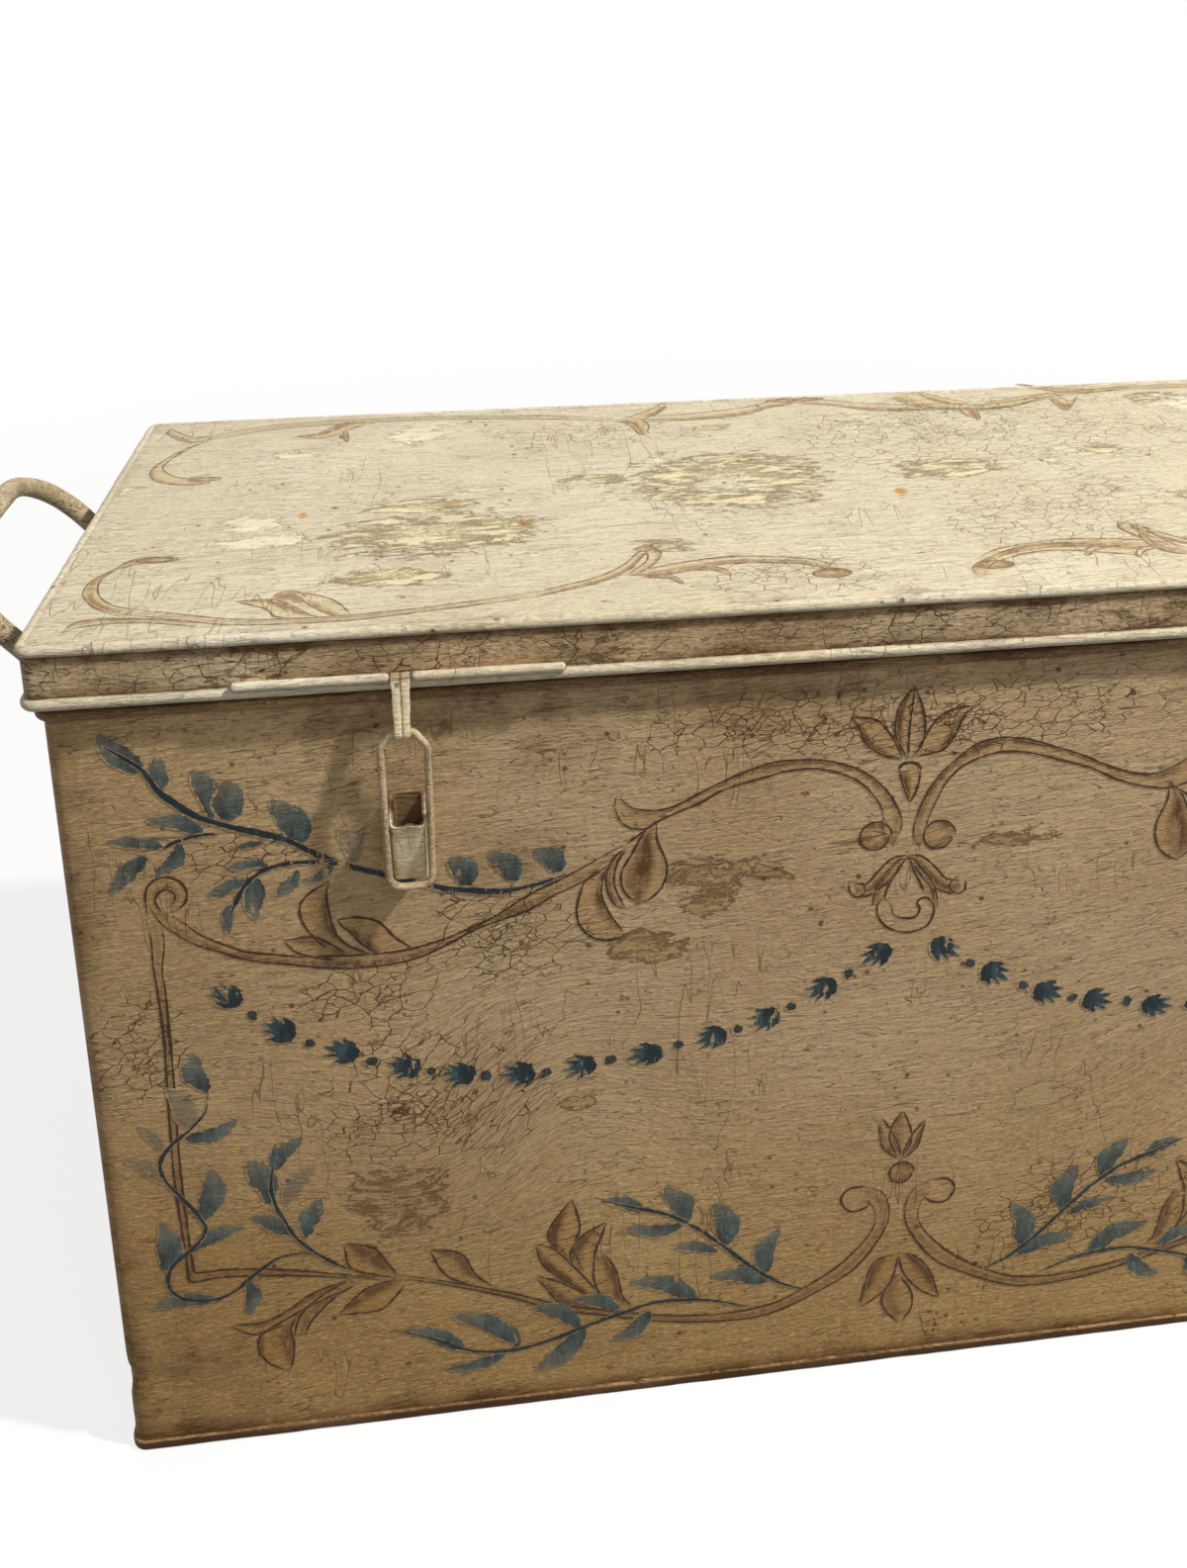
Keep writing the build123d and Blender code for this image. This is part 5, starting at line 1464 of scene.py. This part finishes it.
# ---------------------------------------------------------------- scrollwork on the lid
# forms as in BROWN_FORMS, and round patches: centre, width and depth in mm
TOP_FORMS = (
    # back left scroll
    ((198, 448, 171, 462, 153, 476, 157, 486, 185, 490, 212, 488),
     (215, 443, 189, 454, 168, 468, 166, 476, 185, 483, 214, 478), 0.0, 1.0),
    ((172, 433, 171, 440, 193, 447, 220, 441), (172, 433, 182, 438, 200, 442, 220, 439), 0.3, 0.8),
    ((193, 446, 220, 443, 259, 436, 308, 431, 363, 428, 440, 424, 540, 423, 594, 424, 620, 425),
     (193, 442, 220, 439, 259, 432, 308, 427, 363, 424, 440, 421, 540, 420, 594, 421, 620, 422), 0.5, 0.6),
    ((297, 441, 322, 438, 344, 429, 369, 426), (297, 441, 325, 443, 346, 437, 369, 429), 0.3, 1.0),
    ((344, 439, 351, 447, 352, 440, 350, 436), (344, 439, 345, 444, 347, 441, 347, 437), 0.5, 0.9),
    ((620, 424, 636, 428, 647, 438, 654, 435), (640, 422, 650, 424, 656, 430, 654, 435), 0.3, 1.0),
    ((634, 421, 655, 415, 671, 407, 673, 410), (650, 423, 664, 418, 672, 413, 673, 410), 0.8, 1.0),
    ((652, 424, 701, 424, 749, 420, 776, 413, 802, 408, 808, 404),
     (640, 421, 700, 418, 745, 413, 770, 408, 790, 403, 797, 401), 0.2, 0.8),
    # front left scroll
    ((160, 562, 134, 566, 111, 578, 93, 587, 84, 599, 88, 608, 98, 615, 120, 622),
     (160, 568, 134, 571, 115, 577, 101, 587, 99, 598, 104, 606, 120, 613, 160, 618), 0.3, 1.0),
    ((62, 640, 75, 630, 100, 625, 150, 625, 200, 629),
     (62, 640, 80, 634, 110, 630, 150, 629, 200, 633), 0.3, 0.8),
    ((120, 619, 171, 625, 226, 631, 281, 631, 363, 626, 450, 615, 540, 603),
     (130, 615, 171, 619, 226, 625, 281, 626, 363, 621, 450, 611, 540, 598), 0.5, 0.6),
    ((238, 608, 267, 615, 278, 623, 294, 625, 320, 625),
     (238, 608, 273, 606, 290, 610, 306, 618, 322, 624), 0.8, 1.0),
    ((273, 606, 284, 599, 300, 598, 310, 604), (276, 608, 290, 612, 305, 619, 322, 624), 0.3, 0.9),
    ((300, 600, 322, 602, 341, 609, 355, 621), (300, 602, 312, 611, 326, 618, 344, 624), 0.9, 0.9),
    ((540, 603, 572, 596, 607, 588, 634, 577, 650, 562, 660, 553),
     (540, 598, 572, 591, 607, 582, 630, 571, 645, 559, 660, 553), 0.2, 0.9),
    ((660, 553, 668, 560, 660, 571, 640, 582), (652, 556, 655, 564, 648, 572, 634, 580), 0.1, 0.8),
    ((634, 581, 674, 580, 711, 574, 738, 570, 780, 569, 819, 571, 846, 578),
     (634, 580, 660, 574, 701, 567, 741, 563, 781, 563, 819, 565, 848, 571), 0.3, 0.8),
    ((693, 576, 722, 577, 739, 582, 736, 577), (693, 576, 715, 573, 730, 575, 737, 578), 0.5, 0.9),
    ((647, 583, 674, 584, 690, 590, 688, 585), (647, 583, 665, 581, 680, 582, 690, 587), 0.5, 0.9),
)
TOP_BLOBS = (
    ((160, 566), 15.0, 4.5), ((207, 484), 14.0, 4.5), ((842, 579), 14.0, 7.0), ((791, 405), 16.0, 4.0),
)
TOP_MIDDLE_FORMS = (
    ((901, 402, 912, 406, 935, 412, 970, 413, 1010, 412, 1060, 402),
     (912, 397, 930, 399, 945, 405, 975, 408, 1010, 407, 1060, 398), 0.2, 0.9),
    ((1060, 402, 1075, 413, 1082, 411, 1088, 402), (1062, 396, 1078, 404, 1085, 404, 1090, 400), 0.3, 0.9),
    ((1025, 389, 1070, 396, 1110, 396, 1150, 390), (1030, 388, 1070, 393, 1110, 393, 1150, 388), 0.4, 0.8),
    ((990, 583, 984, 572, 999, 563, 1023, 554, 1049, 549, 1077, 548, 1109, 550, 1164, 554),
     (1020, 575, 1000, 572, 1010, 566, 1030, 560, 1052, 556, 1080, 555, 1110, 557, 1160, 561), 0.2, 0.9),
    ((1148, 530, 1155, 545, 1175, 556, 1200, 560), (1148, 530, 1162, 537, 1180, 548, 1200, 554), 0.3, 0.9),
)
BLOB_OUTLINE = 1.1

top_wash, top_line = Ornament(TOP, "wash"), Ornament(TOP, "line")
for form in TOP_FORMS:
    draw_form(top_wash, top_line, form, TOP_OUTLINE)
for form in TOP_MIDDLE_FORMS:
    draw_form(top_wash, top_line, form, TOP_OUTLINE, mirror=False)
for at, wide, deep in TOP_BLOBS:
    place = flat_on(TOP, [at])[0]
    rim = place + turned_round(24) * [wide / 2, deep / 2]
    top_line.stroke(rim, BLOB_OUTLINE)
    top_wash.add(rim, place + (rim - place) * 0.05, lambda t, v: np.clip(1.1 - v, 0, 1), 1.0, 5,
                 round_spot=True)
top_wash.piece("top_scroll_wash", "lid", "lid_top_paint")
top_line.piece("top_scroll_lines", "lid", "lid_top_paint")

# ---------------------------------------------------------------- floor, backdrop and light
FLOOR_HALF = 8.0
FLOOR_Z = -0.0002
FLOOR_GREY = (0.22, 0.22, 0.22, 1.0)
FLOOR_LIFT = 0.79
FLOOR_LIT = (0.6, 1.5)               # the lit part of the floor fades to white between these radii (m)
WORLD_TINT = (1.0, 0.985, 0.96, 1.0)
WORLD_LIGHT = 0.22
WHITE = (1.0, 1.0, 1.0, 1.0)
AIM = Vector((0.0, 0.0, 0.2))
# name, place and size in metres, power, colour
LAMPS = (
    ("key", (1.08, -0.57, 1.88), 0.1, 47.0, (1.0, 0.97, 0.92)),
    ("second", (0.2, -1.5, 1.5), 0.9, 4.2, (1.0, 0.97, 0.93)),
    ("left", (-1.6, -1.0, 0.9), 0.9, 1.5, (1.0, 0.98, 0.95)),
    ("behind", (-0.4, 1.7, 1.3), 0.9, 4.0, (1.0, 0.98, 0.95)),
)

floor_data = bpy.data.meshes.new("floor")
corners = [(x * FLOOR_HALF, y * FLOOR_HALF, 0) for x, y in ((-1, -1), (1, -1), (1, 1), (-1, 1))]
floor_data.from_pydata(corners, [], [(0, 1, 2, 3)])
floor = bpy.data.objects.new("floor", floor_data)
floor.location.z = FLOOR_Z
bpy.context.scene.collection.objects.link(floor)


def seen_directly(tree):
    """1 for camera, glossy and transmission rays."""
    rays = node(tree, "LightPath", {}).outputs
    direct = math_node(tree, "MAXIMUM", rays["Is Camera Ray"], rays["Is Glossy Ray"])
    return math_node(tree, "MAXIMUM", direct, rays["Is Transmission Ray"])


floor_look = bpy.data.materials.new("floor")
floor_look.use_nodes = True
tree = floor_look.node_tree
tree.nodes.clear()
seen = seen_directly(tree)
diffuse = node(tree, "BsdfDiffuse", {"Color": FLOOR_GREY})
glow = node(tree, "Emission", {"Strength": math_node(tree, "MULTIPLY", seen, FLOOR_LIFT)})
lit_floor = node(tree, "AddShader", {0: diffuse.outputs[0], 1: glow.outputs[0]})
beyond = node(tree, "Emission", {"Strength": seen})
radius = tree.nodes.new("ShaderNodeVectorMath")
radius.operation = "LENGTH"
fill(tree, radius, {0: node(tree, "TexCoord", {}).outputs["Object"]})
far = node(tree, "MapRange", {
    "Value": radius.outputs["Value"], "From Min": FLOOR_LIT[0], "From Max": FLOOR_LIT[1],
})
far.interpolation_type = "SMOOTHSTEP"
whole = node(tree, "MixShader", {0: far.outputs[0], 1: lit_floor.outputs[0], 2: beyond.outputs[0]})
node(tree, "OutputMaterial", {"Surface": whole.outputs[0]})
floor_data.materials.append(floor_look)

world = bpy.data.worlds.new("studio")
world.use_nodes = True
bpy.context.scene.world = world
tree = world.node_tree
tree.nodes.clear()
lit = node(tree, "Background", {"Color": WORLD_TINT, "Strength": WORLD_LIGHT})
white = node(tree, "Background", {"Color": WHITE, "Strength": 1.0})
choose = node(tree, "MixShader", {0: seen_directly(tree), 1: lit.outputs[0], 2: white.outputs[0]})
node(tree, "OutputWorld", {"Surface": choose.outputs[0]})

for name, at, size, power, tint in LAMPS:
    lamp_data = bpy.data.lights.new(name, "AREA")
    lamp_data.shape = "DISK"
    lamp_data.size = size
    lamp_data.energy = power
    lamp_data.color = tint
    lamp = bpy.data.objects.new(name, lamp_data)
    lamp.location = at
    lamp.rotation_euler = (AIM - Vector(at)).to_track_quat("-Z", "Y").to_euler()
    bpy.context.scene.collection.objects.link(lamp)

bpy.context.scene.view_settings.view_transform = "Standard"
